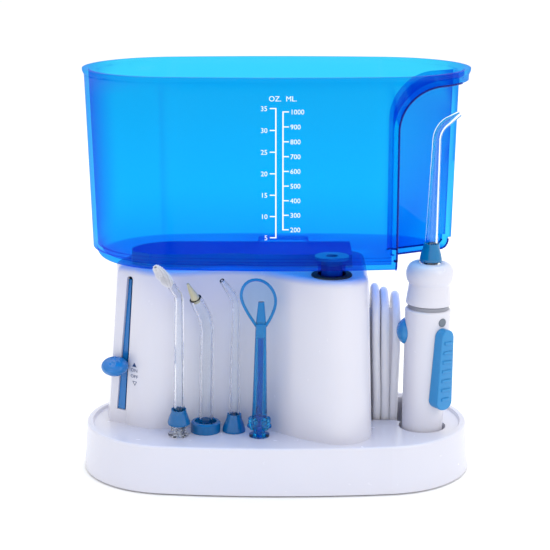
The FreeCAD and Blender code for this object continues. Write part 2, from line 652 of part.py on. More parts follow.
def alcove(grow):
    """The bay in the reservoir's front corner that leaves room for the handle."""
    left, top, radius = ALCOVE_X - grow, ALCOVE_TOP + grow, ALCOVE_R + grow
    far_y = 32.6 + grow
    near, back_left = -70.0, -3.4 + grow
    plan = [
        Vector(left, near, 100), Vector(130, near, 100), Vector(130, far_y, 100), Vector(left, back_left, 100),
    ]
    prism = Part.Face(Part.makePolygon(plan + plan[:1])).extrude(Z * 140)
    arch = block((left, near, 100), (140, 60, top))
    corner = block((left, near, top - radius), (left + radius, 60, top))
    corner = corner.cut(rod((left + radius, near - 1, top - radius), (left + radius, 61, top - radius), radius))
    return prism.common(arch.cut(corner))


def finger_notch(grow):
    """Shallow grip notch in the rear lower edge."""
    notch = rounded_plate(27 + 2 * grow, 30, 3 + grow, 100, TANK_Z + 7 + grow, (4.5, 60.5 - grow))
    return notch


def reservoir():
    tank = tank_form(0, RIM_Z).cut(tank_form(TANK_WALL, RIM_Z + 1))
    low = oval_body(tank_oval(-0.1, RIM_Z - 3.2), tank_oval(-0.9, RIM_Z - 1.4))
    bead = low.fuse(oval_body(tank_oval(-0.9, RIM_Z - 1.4), tank_oval(-0.9, RIM_Z)))
    bead = bead.cut(oval_body(tank_oval(1.0, RIM_Z - 5), tank_oval(1.0, RIM_Z + 1)))
    spout = rod((VALVE_X, VALVE_Y, 114.6), (VALVE_X, VALVE_Y, TANK_Z + 1), SPOUT_R)
    boss = rounded_plate(29, 18, 4, TANK_Z + 1, TANK_Z + TANK_WALL + 2.8, (4, 13))
    tank = tank.fuse([bead, spout, boss])
    return tank.cut(rod((VALVE_X, VALVE_Y, 110), (VALVE_X, VALVE_Y, 140), SPOUT_R - 1.8))


def duckbill_valve():
    """Rubber valve in the spout, with a slit tip and a flange on the reservoir floor."""
    floor = TANK_Z + TANK_WALL
    points = [
        (3.4, 117), (5.9, 117), (5.9, floor), (9.5, floor), (9.5, floor + 1.6), (3.4, floor + 1.6),
    ]
    body = turned(points, (VALVE_X, VALVE_Y, 0))
    bill = rod((VALVE_X, VALVE_Y, 117.0), (VALVE_X, VALVE_Y, 118.4), 5.9)
    bill = bill.cut(block((VALVE_X - 2.8, VALVE_Y - 0.3, 116), (VALVE_X + 2.8, VALVE_Y + 0.3, 120)))
    return body.fuse(bill).removeSplitter()


# ---------------------------------------------------------------- handle
def handle_radius(height):
    return HANDLE_R_LOW + (HANDLE_R_TOP - HANDLE_R_LOW) * height / HANDLE_LENGTH


def handle_shell():
    wall = 2.0
    outer = rod((0, 0, 0), (0, 0, HANDLE_LENGTH), HANDLE_R_LOW, HANDLE_R_TOP)
    outer = outer.makeFillet(1.2, [outer.Edges[0], outer.Edges[2]])
    inner = rod((0, 0, wall), (0, 0, HANDLE_LENGTH + 1), HANDLE_R_LOW - wall, HANDLE_R_TOP - wall)
    shell = outer.cut(inner).cut(rod((0, 0, -1), (0, 0, 5), 4.4))
    shell = placed(shell, HANDLE_FRAME)
    slot = rounded_plate(40, 4.8, 2.3, 0, 30, (0, 0))
    slot = placed(slot, Placement(Vector(0, 0, 41.5), Rotation(Y, 90)))
    shell = shell.cut(placed(slot, GRIP_FRAME))
    shell = shell.cut(placed(rod((0, 0, 0), (30, 0, 0), BUTTON_R + 0.25), BUTTON_FRAME))
    dot = rod((9, 0, DOT_HEIGHT), (15, 0, DOT_HEIGHT), 2.5)
    return shell.cut(placed(dot, GRIP_FRAME))


BUTTON_R = 7.6
DOT_HEIGHT = 69.6
GRIP_LOW, GRIP_HIGH = 19.4, 66.4
GRIP_WIDTH, GRIP_FACE = 10.8, 19.2


def grip_slider():
    """Ribbed pause slider that hugs the handle, with its neck through the slot."""
    middle = (GRIP_LOW + GRIP_HIGH) / 2
    plate = rounded_plate(GRIP_HIGH - GRIP_LOW, GRIP_WIDTH, 4.9, 0, GRIP_FACE, (0, 0))
    plate = placed(plate, Placement(Vector(0, 0, middle), Rotation(Y, 90)))
    face_edges = [e for e in plate.Edges if e.BoundBox.XMin > GRIP_FACE - 0.1]
    plate = plate.makeFillet(0.9, face_edges)
    plate = plate.cut(rod((0, 0, -1), (0, 0, 90), HANDLE_R_LOW + 0.35, HANDLE_R_TOP + 0.6))
    plate = plate.cut(block((-20, -20, 0), (0, 20, 90)))
    for index in range(7):
        z = GRIP_LOW + 6.6 + 5.5 * index
        rib = rod((GRIP_FACE - 0.5, -3.2, z), (GRIP_FACE - 0.5, 3.2, z), 1.0)
        plate = plate.fuse(rib)
    neck = block((8.6, -2.1, 36), (14.5, 2.1, 50))
    shoe = block((7.0, -3.4, 34), (9.4, 3.4, 52))
    return placed(plate.fuse([neck, shoe]).removeSplitter(), GRIP_FRAME)


def indicator_dot():
    dot = rod((11.3, 0, DOT_HEIGHT), (13.25, 0, DOT_HEIGHT), 2.4)
    return placed(dot, GRIP_FRAME)


def eject_button():
    """Domed button on the far side of the handle that releases the tip."""
    body = rod((9.6, 0, 0), (13.0, 0, 0), BUTTON_R)
    rise = 4.4
    dome_r = (BUTTON_R ** 2 + rise ** 2) / (2 * rise)
    dome = Part.makeSphere(dome_r, Vector(13.0 + rise - dome_r, 0, 0))
    dome = dome.common(rod((13.0, 0, 0), (20, 0, 0), BUTTON_R))
    stem = rod((6.4, 0, 0), (9.6, 0, 0), 2.2)
    return placed(body.fuse([dome, stem]).removeSplitter(), BUTTON_FRAME)


def pause_spool():
    """Spool that the pause slider moves to stop the water."""
    spool = rod((0, 0, 34.5), (0, 0, 51.5), 3.0)
    for z in (38, 47):
        spool = spool.cut(rod((0, 0, z), (0, 0, z + 2), 3.5).cut(rod((0, 0, z - 1), (0, 0, z + 3), 2.2)))
    lug = block((2, -1.5, 41), (6.9, 1.5, 45))
    return placed(spool.fuse(lug), GRIP_FRAME)


def handle_core():
    """Valve block and nozzle bearing in the handle's upper end."""
    points = [
        (5.3, 70.4), (10.9, 70.4), (11.0, HANDLE_LENGTH), (11.7, HANDLE_LENGTH), (11.7, 77.6), (5.3, 77.6),
    ]
    head = turned(points)
    return placed(head, HANDLE_FRAME)


def flow_tube():
    tube = rod((0, 0, 7.0), (0, 0, 29.4), 2.4).cut(rod((0, 0, 6), (0, 0, 34), 1.3))
    return placed(tube, HANDLE_FRAME)


def hose_nipple():
    """Barb inside the handle's lower end that the hose is pushed onto."""
    barb = turned([(1.3, 5.5), (2.6, 5.5), (2.6, 8.5), (3.6, 8.5), (3.6, 11), (2.5, 11), (2.5, 12), (1.3, 12)])
    plate = rod((0, 0, 9), (0, 0, 10.6), handle_radius(9) - 2.1).cut(rod((0, 0, 8), (0, 0, 12), 3.6))
    ring = rod((0, 0, 7), (0, 0, 12), 2.4)
    return placed(barb.cut(ring).fuse(plate), HANDLE_FRAME)


def nozzle_knob():
    """Turning nozzle: lower skirt, waist and rounded knob, bored for the tip."""
    profile = [
        (4.9, 65.6), (4.9, 78), (12.3, 78), (12.9, 78.6), (12.5, 88.6), (11.7, 89.8), (12.4, 91), (13.5, 93),
        (13.95, 95.6), (13.7, 98), (12.6, 100.2), (10.6, 101.6), (7.6, NOZZLE_TOP), (4.2, NOZZLE_TOP), (4.2, 92),
        (1.6, 91), (1.6, 65.6),
    ]
    return placed(turned(profile), HANDLE_FRAME)


def nozzle_seal():
    ring = Part.makeTorus(4.6, 0.55, Vector(0, 0, 74.2))
    groove_side = rod((0, 0, 73), (0, 0, 76), 4.92)
    return placed(ring.cut(groove_side), HANDLE_FRAME)


def tip_washer():
    ring = rod((0, 0, NOZZLE_TOP + 0.02), (0, 0, NOZZLE_TOP + 0.9), 6.7).cut(rod((0, 0, 100), (0, 0, 105), 4.25))
    return placed(ring, HANDLE_FRAME)


def bell(low, high, r_low, r_top, bore):
    """A tip's flared colour ring, with a scalloped upper edge."""
    height = high - low
    points = [
        (bore, low), (r_low, low), (r_low, low + 0.12 * height), (r_low - 0.35 * (r_low - r_top), low + 0.42 * height),
        (r_top + 0.15 * (r_low - r_top), low + 0.72 * height), (r_top, high), (bore, high),
    ]
    ring = turned(points)
    for index in range(6):
        angle = math.pi * index / 6
        reach = Vector(math.cos(angle), math.sin(angle), 0) * (r_low + 2)
        ring = ring.cut(rod(-reach + Z * (high + 0.7), reach + Z * (high + 0.7), 1.3))
    return ring


def jet_ring():
    return placed(bell(NOZZLE_TOP + 0.95, NOZZLE_TOP + 11.4, 6.4, 4.3, 3.85), HANDLE_FRAME)


def bent_solid(corners, radii, bends):
    """A tapered round solid along straight runs, with an arc of the stated radius at each corner."""
    corners = [Vector(*c) for c in corners]
    rings, last, travelled = [(0.0, corners[0], corners[1] - corners[0])], corners[0], 0.0
    marks = [0.0]
    for before, corner, after, bend in zip(corners, corners[1:], corners[2:], bends):
        into, out = (corner - before).normalize(), (after - corner).normalize()
        turn = into.getAngle(out)
        back = bend * math.tan(turn / 2)
        first = corner - into * back
        centre = first + (out - into * into.dot(out)).normalize() * bend
        axis = into.cross(out)
        travelled += (first - last).Length
        for step in range(9):
            spin = Rotation(axis, math.degrees(turn * step / 8))
            point = centre + spin.multVec(first - centre)
            rings.append((travelled + bend * turn * step / 8, point, spin.multVec(into)))
        marks.append(travelled + bend * turn / 2)
        travelled += bend * turn
        last = rings[-1][1]
    travelled += (corners[-1] - last).Length
    rings.append((travelled, corners[-1], corners[-1] - last))
    marks.append(travelled)

    def radius_at(length):
        for m0, m1, r0, r1 in zip(marks, marks[1:], radii, radii[1:]):
            if length <= m1 + 1e-9:
                return r0 + (r1 - r0) * (length - m0) / (m1 - m0)
        return radii[-1]
    wires = [Part.Wire([Part.makeCircle(radius_at(length), point, along)]) for length, point, along in rings]
    return Part.makeLoft(wires, True, True)


def bent_tip(corners, radii, bends, bore_share=0.5):
    """A tapered tip with its water way."""
    bore = bent_solid(corners, [r * bore_share for r in radii], bends)
    return bent_solid(corners, radii, bends).cut(bore)


JET_PATH = [(0, 0, 93), (0, 0, 112), (0, 0, 178.5), (15.2, 0, 188.2)]
JET_RADII = [3.7, 3.7, 2.5, 1.6]


def jet_tube():
    lower = rod(JET_PATH[0], JET_PATH[1], JET_RADII[0])
    upper = bent_solid(JET_PATH[1:], JET_RADII[1:], [13.0])
    bore = rod(JET_PATH[0], JET_PATH[1], 1.8).fuse(bent_solid(JET_PATH[1:], [1.8, 1.2, 0.7], [13.0]))
    return placed(lower.fuse(upper).cut(bore), HANDLE_FRAME)


# ---------------------------------------------------------------- loose accessory tips
BRUSH_PATH = [(-55.4, -26.8, DECK_Z + 0.05), (-53.6, -35.4, 109.6), (-57.3, -46.6, 119.0), (-61.5, -52.5, 126.1)]
BRUSH_RADII, BRUSH_BENDS = [3.6, 2.5, 2.3, 2.2], [8.0, 22.0]
POCKET_PATH = [(-40.4, -20.0, DECK_Z + 1.0), (-38.9, -20.0, 91.2), (-45.1, -25.5, 105.7)]
POCKET_RADII, POCKET_BENDS = [4.2, 4.0, 3.6], [27.0]
SPARE_PATH = [(-24.2, -19.6, DECK_Z + 0.4), (-22.5, -19.0, 103.2), (-30.2, -27.0, 116.6)]
SPARE_RADII, SPARE_BENDS = [3.1, 1.9, 1.4], [14.0]


def standing(path):
    """Frame at a tip's foot, with +Z along its straight stem."""
    foot, knee = Vector(*path[0]), Vector(*path[1])
    along = knee - foot
    start = foot + along * ((DECK_Z + 0.05 - foot.z) / along.z)
    return Placement(start, Rotation(Z, along))


BRUSH_FRAME, POCKET_FRAME, SPARE_FRAME = standing(BRUSH_PATH), standing(POCKET_PATH), standing(SPARE_PATH)
TONGUE_FRAME = Placement(Vector(-9.6, -28.2, DECK_Z + 0.05), Rotation(Y, 1.0))


def spool_foot(radius, height):
    """Barbed foot of a tip: a disc, a waist and a collar."""
    points = [
        (1.8, 0), (radius, 0), (radius, 1.1), (2.9, 1.6), (2.9, height - 1.6), (4.6, height - 0.8), (4.6, height),
        (1.8, height),
    ]
    return turned(points)


def brush_tube():
    bore = bent_solid(BRUSH_PATH, [r * 0.5 for r in BRUSH_RADII], BRUSH_BENDS)
    stem = bent_solid(BRUSH_PATH, BRUSH_RADII, BRUSH_BENDS)
    return level_cut(placed(spool_foot(6.0, 7.3), BRUSH_FRAME).fuse(stem).cut(bore))


def level_cut(shape):
    """Trim a leaning foot flat, just clear of the deck."""
    return shape.cut(block((-90, -60, DECK_Z - 8), (20, 0, DECK_Z + 0.05)))


def brush_ring():
    return placed(bell(7.35, 16.4, 6.3, 4.2, 3.75), BRUSH_FRAME)


def brush_head():
    """Envelope of the soft bristle head, over the end of the tube."""
    start, end = Vector(-57.9, -47.45, 120.0), Vector(-65.5, -58.15, 132.9)
    along = end - start
    shares = [(0.0, 2.6), (0.1, 3.2), (0.55, 3.6), (0.85, 3.0), (1.0, 1.7)]
    rings = [Part.Wire([Part.makeCircle(r, start + along * s, along)]) for s, r in shares]
    return Part.makeLoft(rings, True, True).cut(bent_solid(BRUSH_PATH, BRUSH_RADII, BRUSH_BENDS))


def pocket_tube():
    return level_cut(bent_tip(POCKET_PATH, POCKET_RADII, POCKET_BENDS, 0.55))


def pocket_ring():
    points = [(4.3, 0), (8.5, 0), (8.5, 5.4), (7.6, 6.1), (6.4, 6.1), (6.4, 3.4), (4.3, 3.4)]
    return level_cut(placed(turned(points), POCKET_FRAME))


def pocket_rubber():
    """Soft cone that seals at the gum line."""
    end = Vector(*POCKET_PATH[2])
    along = (end - Vector(*POCKET_PATH[1])).normalize()
    plug = Part.makeCylinder(1.95, 2.6, end - along * 2.2, along)
    cone = Part.makeCone(2.5, 0.7, 10.6, end + along * 0.3, along)
    return plug.fuse(cone).cut(Part.makeCylinder(0.4, 20, end - along * 3, along))


def spare_tube():
    return bent_tip(SPARE_PATH, SPARE_RADII, SPARE_BENDS)


def spare_ring():
    return level_cut(placed(bell(0, 10.6, 6.6, 4.0, 3.25), SPARE_FRAME))


SPOON_RIM_R, SPOON_WEB = 0.85, 0.6
SPOON = [
    Vector(-2.6, 0, 64.6), Vector(-9.6, 0, 76.0), Vector(-11.2, 0, 83.4), Vector(-8.0, 0, 89.6), Vector(-2.0, 0, 91.2),
    Vector(4.6, 0, 87.6), Vector(7.9, 0, 80.2), Vector(6.2, 0, 71.4), Vector(2.6, 0, 64.6),
]


def tongue_stem():
    """Handle of the tongue cleaner: foot, knurled bulb, tapered stem and flat nose."""
    foot = turned([(1.6, 0), (5.8, 0), (5.8, 1.1), (3.4, 1.6), (3.4, 4.2), (1.6, 4.2)])
    bulb = turned([(1.6, 4.2), (4.2, 4.2), (6.0, 5.8), (6.2, 7.6), (5.9, 9.6), (4.4, 11.6), (1.6, 11.6)])
    knobs = []
    for row, (height, ring_r) in enumerate(((6.0, 5.4), (9.4, 5.2))):
        for index in range(8):
            angle = 2 * math.pi * (index + 0.5 * row) / 8
            centre = Vector(ring_r * math.cos(angle), ring_r * math.sin(angle), height)
            knobs.append(Part.makeSphere(1.6, centre))
    stem = rod((0, 0, 11.6), (0, 0, 66), 4.3, 3.0).cut(rod((0, 0, 0), (0, 0, 58), 1.6))
    nose = rod((0, 0, 66), (0, 0, 78.6), 2.9, 1.7).common(block((-4, -1.5, 60), (4, 1.5, 80)))
    cleaner = foot.fuse([bulb, stem, nose, *knobs]).cut(rod((0, 0, -1), (0, 0, 20), 1.6))
    return level_cut(placed(cleaner.removeSplitter(), TONGUE_FRAME))


def tongue_spoon():
    """Thin scraper dish inside its raised wire edge."""
    curve = Part.BSplineCurve()
    curve.interpolate(SPOON)
    count = 30
    stations = [curve.FirstParameter + (curve.LastParameter - curve.FirstParameter) * n / count for n in range(count + 1)]
    rings = [Part.Wire([Part.makeCircle(SPOON_RIM_R, curve.value(t), curve.tangent(t)[0])]) for t in stations]
    rim = Part.makeLoft(rings, True, True)
    outline = Part.Wire([curve.toShape(), Part.makeLine(SPOON[-1], SPOON[0])])
    web = Part.Face(outline).extrude(Y * SPOON_WEB)
    web.translate(Vector(0, -SPOON_WEB / 2, 0))
    stem_room = rod((0, 0, 50), (0, 0, 66), 3.05).fuse(
        rod((0, 0, 66), (0, 0, 78.7), 2.95, 1.75).common(block((-4, -1.55, 60), (4, 1.55, 80))))
    return placed(rim.fuse(web).cut(stem_room).removeSplitter(), TONGUE_FRAME)


# ---------------------------------------------------------------- hose
def hose_coil():
    """Outer shape of the wound hose: an upright racetrack ring."""
    def race(y0, y1, z0, z1):
        radius = (y1 - y0) / 2
        middle = (y0 + y1) / 2
        body = block((COIL_X0, y0, z0 + radius), (COIL_X1, y1, z1 - radius))
        for z in (z0 + radius, z1 - radius):
            body = body.fuse(rod((COIL_X0, middle, z), (COIL_X1, middle, z), radius))
        return body.removeSplitter()
    band = COIL_BAND
    return race(COIL_Y0, COIL_Y1, COIL_Z0, COIL_Z1).cut(
        race(COIL_Y0 + band, COIL_Y1 - band, COIL_Z0 + band, COIL_Z1 - band))


def hose_lead():
    return rod(HOSE_EXIT, (HOSE_EXIT.x, HOSE_EXIT.y, COIL_Z0 + COIL_BAND), HOSE_R).cut(hose_coil())


def hose_tail():
    return tube_along(TAIL, HOSE_R).cut(hose_coil())


# ---------------------------------------------------------------- the parts
def all_parts():
    return {
        "base_cover": base_cover(),
        "hose_tray": hose_tray(),
        "bottom_plate": bottom_plate(),
        "rubber_feet": feet(),
        "screws": screws(SCREW_PLACES, PLATE_Z + 1.65) + screws(TOWER_SCREWS, DECK_Z - WALL),
        "cord_gland": cord_gland(),
        "tower_shell": tower_shell(),
        "tower_saddle": tower_saddle(),
        "valve_seat": valve_seat(),
        "inlet_cup": inlet_cup(),
        "inlet_strainer": inlet_strainer(),
        "slider_track": slider_track(),
        "slider_paddle": slider_paddle(),
        "slider_rack": slider_rack(),
        "regulator_dial": regulator_dial(),
        "regulator_spindle": regulator_spindle(),
        "regulator_body": regulator_body(),
        "power_switch": power_switch(),
        "pump_frame": pump_frame(),
        "motor_can": motor_can(),
        "motor_shaft": motor_shaft(),
        "motor_pinion": motor_pinion(),
        "drive_wheel": drive_wheel(),
        "wheel_axle": wheel_axle(),
        "connecting_rod": connecting_rod(),
        "piston": piston(),
        "piston_seal": piston_seal(),
        "pump_cylinder": pump_cylinder(),
        "valve_chest": valve_chest(),
        "valve_balls": valve_balls(),
        "inlet_tube": inlet_tube(),
        "outlet_tube": outlet_tube(),
        "hose_fitting": hose_fitting(),
        "reservoir": reservoir(),
        "duckbill_valve": duckbill_valve(),
        "handle_shell": handle_shell(),
        "grip_slider": grip_slider(),
        "indicator_dot": indicator_dot(),
        "eject_button": eject_button(),
        "pause_spool": pause_spool(),
        "handle_core": handle_core(),
        "flow_tube": flow_tube(),
        "hose_nipple": hose_nipple(),
        "nozzle_knob": nozzle_knob(),
        "nozzle_seal": nozzle_seal(),
        "tip_washer": tip_washer(),
        "jet_ring": jet_ring(),
        "jet_tube": jet_tube(),
        "brush_tube": brush_tube(),
        "brush_ring": brush_ring(),
        "brush_head": brush_head(),
        "pocket_tube": pocket_tube(),
        "pocket_ring": pocket_ring(),
        "pocket_rubber": pocket_rubber(),
        "spare_tube": spare_tube(),
        "spare_ring": spare_ring(),
        "tongue_cleaner": tongue_stem().fuse(tongue_spoon()),
        "hose_coil": hose_coil(),
        "hose_lead": hose_lead(),
        "hose_tail": hose_tail(),
    }


def main():
    os.makedirs(PARTS, exist_ok=True)
    for name, made in all_parts().items():
        shape = Part.makeCompound(made) if isinstance(made, list) else made
        sound = shape.isValid() and all(solid.isClosed() for solid in shape.Solids)
        if not sound or not shape.Solids:
            print(f"CHECK {name}: valid {shape.isValid()}, {len(shape.Solids)} solids")
        shape.exportStep(f"{PARTS}/{name}.step")
        print(f"{name}: {len(shape.Solids)} solids, {shape.Volume / 1000:.2f} cm3")


main()
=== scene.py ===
# %% [markdown]
# # A countertop water flosser, finished in Blender
# The solid model brings every hard part, already in its place. Here each part gets the finish of its real
# material, except the handle's core, whose dark grey is painted shade for the groove under the knob. The pieces
# that solids draw badly are modelled: the reservoir's edges, the paddle, the turned knob, the clear stems, the
# bristles, the ribbed grip, the printed marks and the wound hose. Everything is in
# metres, with the front towards -Y.

# %% Load the solid parts
import math

import bpy
from mathutils import Matrix, Vector


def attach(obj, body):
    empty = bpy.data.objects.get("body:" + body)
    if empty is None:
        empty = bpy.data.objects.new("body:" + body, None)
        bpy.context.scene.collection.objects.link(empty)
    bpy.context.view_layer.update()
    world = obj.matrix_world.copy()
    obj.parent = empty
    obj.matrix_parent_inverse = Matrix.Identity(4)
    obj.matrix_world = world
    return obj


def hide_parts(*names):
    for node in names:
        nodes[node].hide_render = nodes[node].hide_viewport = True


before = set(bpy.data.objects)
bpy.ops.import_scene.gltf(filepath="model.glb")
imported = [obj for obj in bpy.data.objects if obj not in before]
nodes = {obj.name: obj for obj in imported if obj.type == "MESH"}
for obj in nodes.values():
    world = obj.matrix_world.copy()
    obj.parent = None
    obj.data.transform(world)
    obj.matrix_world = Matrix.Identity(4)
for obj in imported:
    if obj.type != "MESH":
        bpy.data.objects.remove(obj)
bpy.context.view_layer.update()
bpy.ops.object.select_all(action="DESELECT")

# %% [markdown]
# ## The camera
# Product pictures of small appliances are taken from far away with a long lens, so that upright edges stay
# upright. This one stands a little over 0.9 m in front, a third of a metre up, and looks down by 13.6 degrees.

# %% Camera
MM = 0.001
view_down, view_turn = 0.23751, -0.0059
forward = Vector((math.sin(view_turn) * math.cos(view_down), math.cos(view_turn) * math.cos(view_down),
                  -math.sin(view_down)))
camera_data = bpy.data.cameras.new("long_lens")
camera_data.lens = 108.83
camera_data.sensor_width = 36.0
camera_data.clip_start, camera_data.clip_end = 0.05, 30.0
camera = bpy.data.objects.new("camera", camera_data)
camera.location = Vector((4.69, -925.35, 337.23)) * MM
camera.rotation_euler = forward.to_track_quat("-Z", "Y").to_euler()
bpy.context.scene.collection.objects.link(camera)
bpy.context.scene.camera = camera
print("camera at", tuple(round(v, 3) for v in camera.location))

# %% [markdown]
# ## Helpers for materials
# Colours are picked as screen hex values, so one function turns them into the linear numbers that shaders use.
# A second one adds a node with its settings and links, which keeps every recipe below to a few lines.

# %% Colour and node helpers
def linear(code, alpha=1.0):
    """Linear RGBA of an sRGB hex colour."""
    parts = [int(code[i:i + 2], 16) / 255 for i in (1, 3, 5)]
    return [c / 12.92 if c <= 0.04045 else ((c + 0.055) / 1.055) ** 2.4 for c in parts] + [alpha]


def add(tree, kind, settings=None, **inputs):
    """Add a node. Inputs are given by name, with _ for a space: a constant, or another node's output socket."""
    node = tree.nodes.new(kind)
    for name, value in (settings or {}).items():
        setattr(node, name, value)
    for name, value in inputs.items():
        key = int(name[1:]) if name[0] == "i" and name[1:].isdigit() else name.replace("_", " ")
        if isinstance(value, bpy.types.NodeSocket):
            tree.links.new(value, node.inputs[key])
        else:
            node.inputs[key].default_value = value
    return node


def new_material(name):
    """An empty node material and its output node."""
    material = bpy.data.materials.new(name)
    material.use_nodes = True
    tree = material.node_tree
    tree.nodes.clear()
    return material, tree, tree.nodes.new("ShaderNodeOutputMaterial")


def finish(material, tree, output, shader):
    """Send the shader to the output and give the material back."""
    tree.links.new(shader.outputs[0], output.inputs["Surface"])
    return material


print("white is", [round(c, 3) for c in linear("#FFFFFF")])

# %% [markdown]
# ## Opaque plastics
# The housing is glossy white ABS, injection moulded in a polished tool. Such a surface isn't a perfect mirror:
# it keeps a faint waviness about 6 mm across from shrinkage, and fine scuffs that change its gloss. Noise on
# the object's own coordinates gives both, as bump and as roughness.

# %% Moulded plastic
def moulded(name, colour, roughness=0.25, ripple_mm=6.0, ripple=0.03, tint=0.02, grain_mm=0.0, grain=0.0):
    """Opaque moulded plastic: colour drift, uneven gloss, mould ripple and, if asked, a spark-eroded grain."""
    material, tree, output = new_material(name)
    place = add(tree, "ShaderNodeTexCoord").outputs["Object"]
    drift = add(tree, "ShaderNodeTexNoise", Vector=place, Scale=25.0, Detail=2.0)
    base = linear(colour)
    dark = [c * (1 - tint * 2) for c in base[:3]] + [1.0]
    mixed = add(tree, "ShaderNodeMix", {"data_type": "RGBA"}, i0=drift.outputs["Fac"])
    mixed.inputs[6].default_value, mixed.inputs[7].default_value = dark, base
    scuffs = add(tree, "ShaderNodeTexNoise", Vector=place, Scale=180.0, Detail=4.0, Roughness=0.6)
    gloss = add(tree, "ShaderNodeMapRange", Value=scuffs.outputs["Fac"], From_Min=0.3, From_Max=0.7)
    gloss.inputs["To Min"].default_value = roughness * 0.8
    gloss.inputs["To Max"].default_value = roughness * 1.25
    wave = add(tree, "ShaderNodeTexNoise", Vector=place, Scale=1.0 / (ripple_mm * MM), Detail=1.0)
    bump = add(tree, "ShaderNodeBump", Height=wave.outputs["Fac"], Strength=ripple, Distance=0.0005)
    normal = bump.outputs["Normal"]
    if grain:
        speck = add(tree, "ShaderNodeTexNoise", Vector=place, Scale=1.0 / (grain_mm * MM), Detail=2.0)
        normal = add(tree, "ShaderNodeBump", Height=speck.outputs["Fac"], Strength=grain, Distance=0.0002,
                     Normal=normal).outputs["Normal"]
    shader = add(tree, "ShaderNodeBsdfPrincipled", Base_Color=mixed.outputs[2], Roughness=gloss.outputs[0],
                 Normal=normal, IOR=1.53)
    return finish(material, tree, output, shader)


polished_white_abs = moulded("polished_white_abs", "#D6D5DF", 0.22)
satin_white_pp = moulded("satin_white_polypropylene", "#DEDFE6", 0.42, grain_mm=0.5, grain=0.15)
grey_pp = moulded("grey_polypropylene", "#C6C9D0", 0.5, grain_mm=0.6, grain=0.2)
lever_blue_abs = moulded("lever_blue_abs", "#0F72BA", 0.16)
grip_blue_tpe = moulded("grip_blue_elastomer", "#2787C4", 0.38, grain_mm=0.4, grain=0.1)
button_blue_abs = moulded("button_blue_abs", "#1E80C0", 0.25)
ring_blue_abs = moulded("ring_blue_abs", "#04629E", 0.16)
ring_teal_abs = moulded("ring_teal_abs", "#0272A8", 0.12)
white_acetal = moulded("white_acetal", "#E8E8E0", 0.35)
grey_mark = moulded("grey_dot_abs", "#6A7480", 0.4)
# The handle's core shows in the groove under the knob's collar. Its dark grey is painted shade for that groove.
painted_groove_shade = moulded("painted_groove_shade_grey", "#8D8F9A", 0.45)
smoke_silicone = moulded("smoke_blue_silicone", "#5A8AC0", 0.4)
black_rubber = moulded("black_nitrile_rubber", "#121316", 0.55, grain_mm=0.5, grain=0.2, tint=0.1)
dark_foot_rubber = moulded("dark_foot_rubber", "#3A3C40", 0.7, grain_mm=0.6, grain=0.3, tint=0.1)
pale_rubber = moulded("pale_gland_rubber", "#D0D2D8", 0.6, grain_mm=0.5, grain=0.2)
cream_rubber = moulded("cream_soft_rubber", "#BEB89C", 0.5, grain_mm=0.4, grain=0.1)
milky_silicone = moulded("milky_silicone", "#D8DDE0", 0.35)
print("opaque plastics and rubbers ready")

# %% [markdown]
# ## Clear plastics
# The reservoir is tinted styrene, moulded about 2.6 mm thick. Light loses red in every wall it crosses, so two
# walls look bright cyan and four look deep blue. It could be done with volume absorption, which is slow and is
# lost on export, so the colour sits on the surface and a deeper one is mixed in where the wall is seen edge on.
# Lamps shine through such plastic, so shadow rays get a tinted transparent shader. Its refraction is set far
# below the true 1.59, because many bent rays between thin walls end up black.

# %% Tinted and clear plastic
DEEP_LOW, DEEP_END, DEEP_FOOT = 0.3, 0.55, 1.0


def fade(tree, value, start_mm, end_mm, first, last):
    """A smooth change from first to last between two places along an axis, in millimetres."""
    return add(tree, "ShaderNodeMapRange", {"interpolation_type": "SMOOTHSTEP"}, Value=value,
               From_Min=start_mm * MM, From_Max=end_mm * MM, To_Min=first, To_Max=last).outputs[0]


def clear(name, colour, shade, roughness=0.03, ior=1.45, deep=None, low_mm=None, coat=0.0):
    """See-through plastic. Colour is what one wall lets through, deep is what it lets through edge on, and
    shade is the tint of the light it casts. With low_mm, the foot and top of a band, the deep colour also
    gathers towards the foot and at the two ends."""
    material, tree, output = new_material(name)
    place = add(tree, "ShaderNodeTexCoord").outputs["Object"]
    haze = add(tree, "ShaderNodeTexNoise", Vector=place, Scale=90.0, Detail=3.0)
    gloss = add(tree, "ShaderNodeMapRange", Value=haze.outputs["Fac"], To_Min=roughness * 0.6,
                To_Max=roughness * 1.4)
    body = add(tree, "ShaderNodeBsdfPrincipled", Base_Color=linear(colour), Roughness=gloss.outputs[0], IOR=ior,
               Transmission_Weight=1.0, Coat_Weight=coat, Coat_Roughness=0.05)
    if deep:
        edge = add(tree, "ShaderNodeLayerWeight", Blend=0.5)
        factor = add(tree, "ShaderNodeMapRange", Value=edge.outputs["Facing"], From_Min=0.3,
                     From_Max=1.0).outputs[0]
        if low_mm:
            foot, top = low_mm
            split = add(tree, "ShaderNodeSeparateXYZ", Vector=place)
            height = split.outputs["Z"]
            aside = add(tree, "ShaderNodeMath", {"operation": "ABSOLUTE"}, i0=split.outputs["X"]).outputs[0]
            for share in (fade(tree, height, foot, top, DEEP_LOW, 0.0),
                          fade(tree, aside, 94, 108, 0.0, DEEP_END),
                          fade(tree, height, foot + 0.8, foot + 2.4, DEEP_FOOT, 0.0)):
                factor = add(tree, "ShaderNodeMath", {"operation": "MAXIMUM"}, i0=factor, i1=share).outputs[0]
        tint = add(tree, "ShaderNodeMix", {"data_type": "RGBA"}, i0=factor)
        tint.inputs[6].default_value, tint.inputs[7].default_value = linear(colour), linear(deep)
        tree.links.new(tint.outputs[2], body.inputs["Base Color"])
    light = add(tree, "ShaderNodeBsdfTransparent", Color=linear(shade))
    ray = add(tree, "ShaderNodeLightPath")
    mix = add(tree, "ShaderNodeMixShader", i0=ray.outputs["Is Shadow Ray"], i1=body.outputs[0],
              i2=light.outputs[0])
    return finish(material, tree, output, mix)


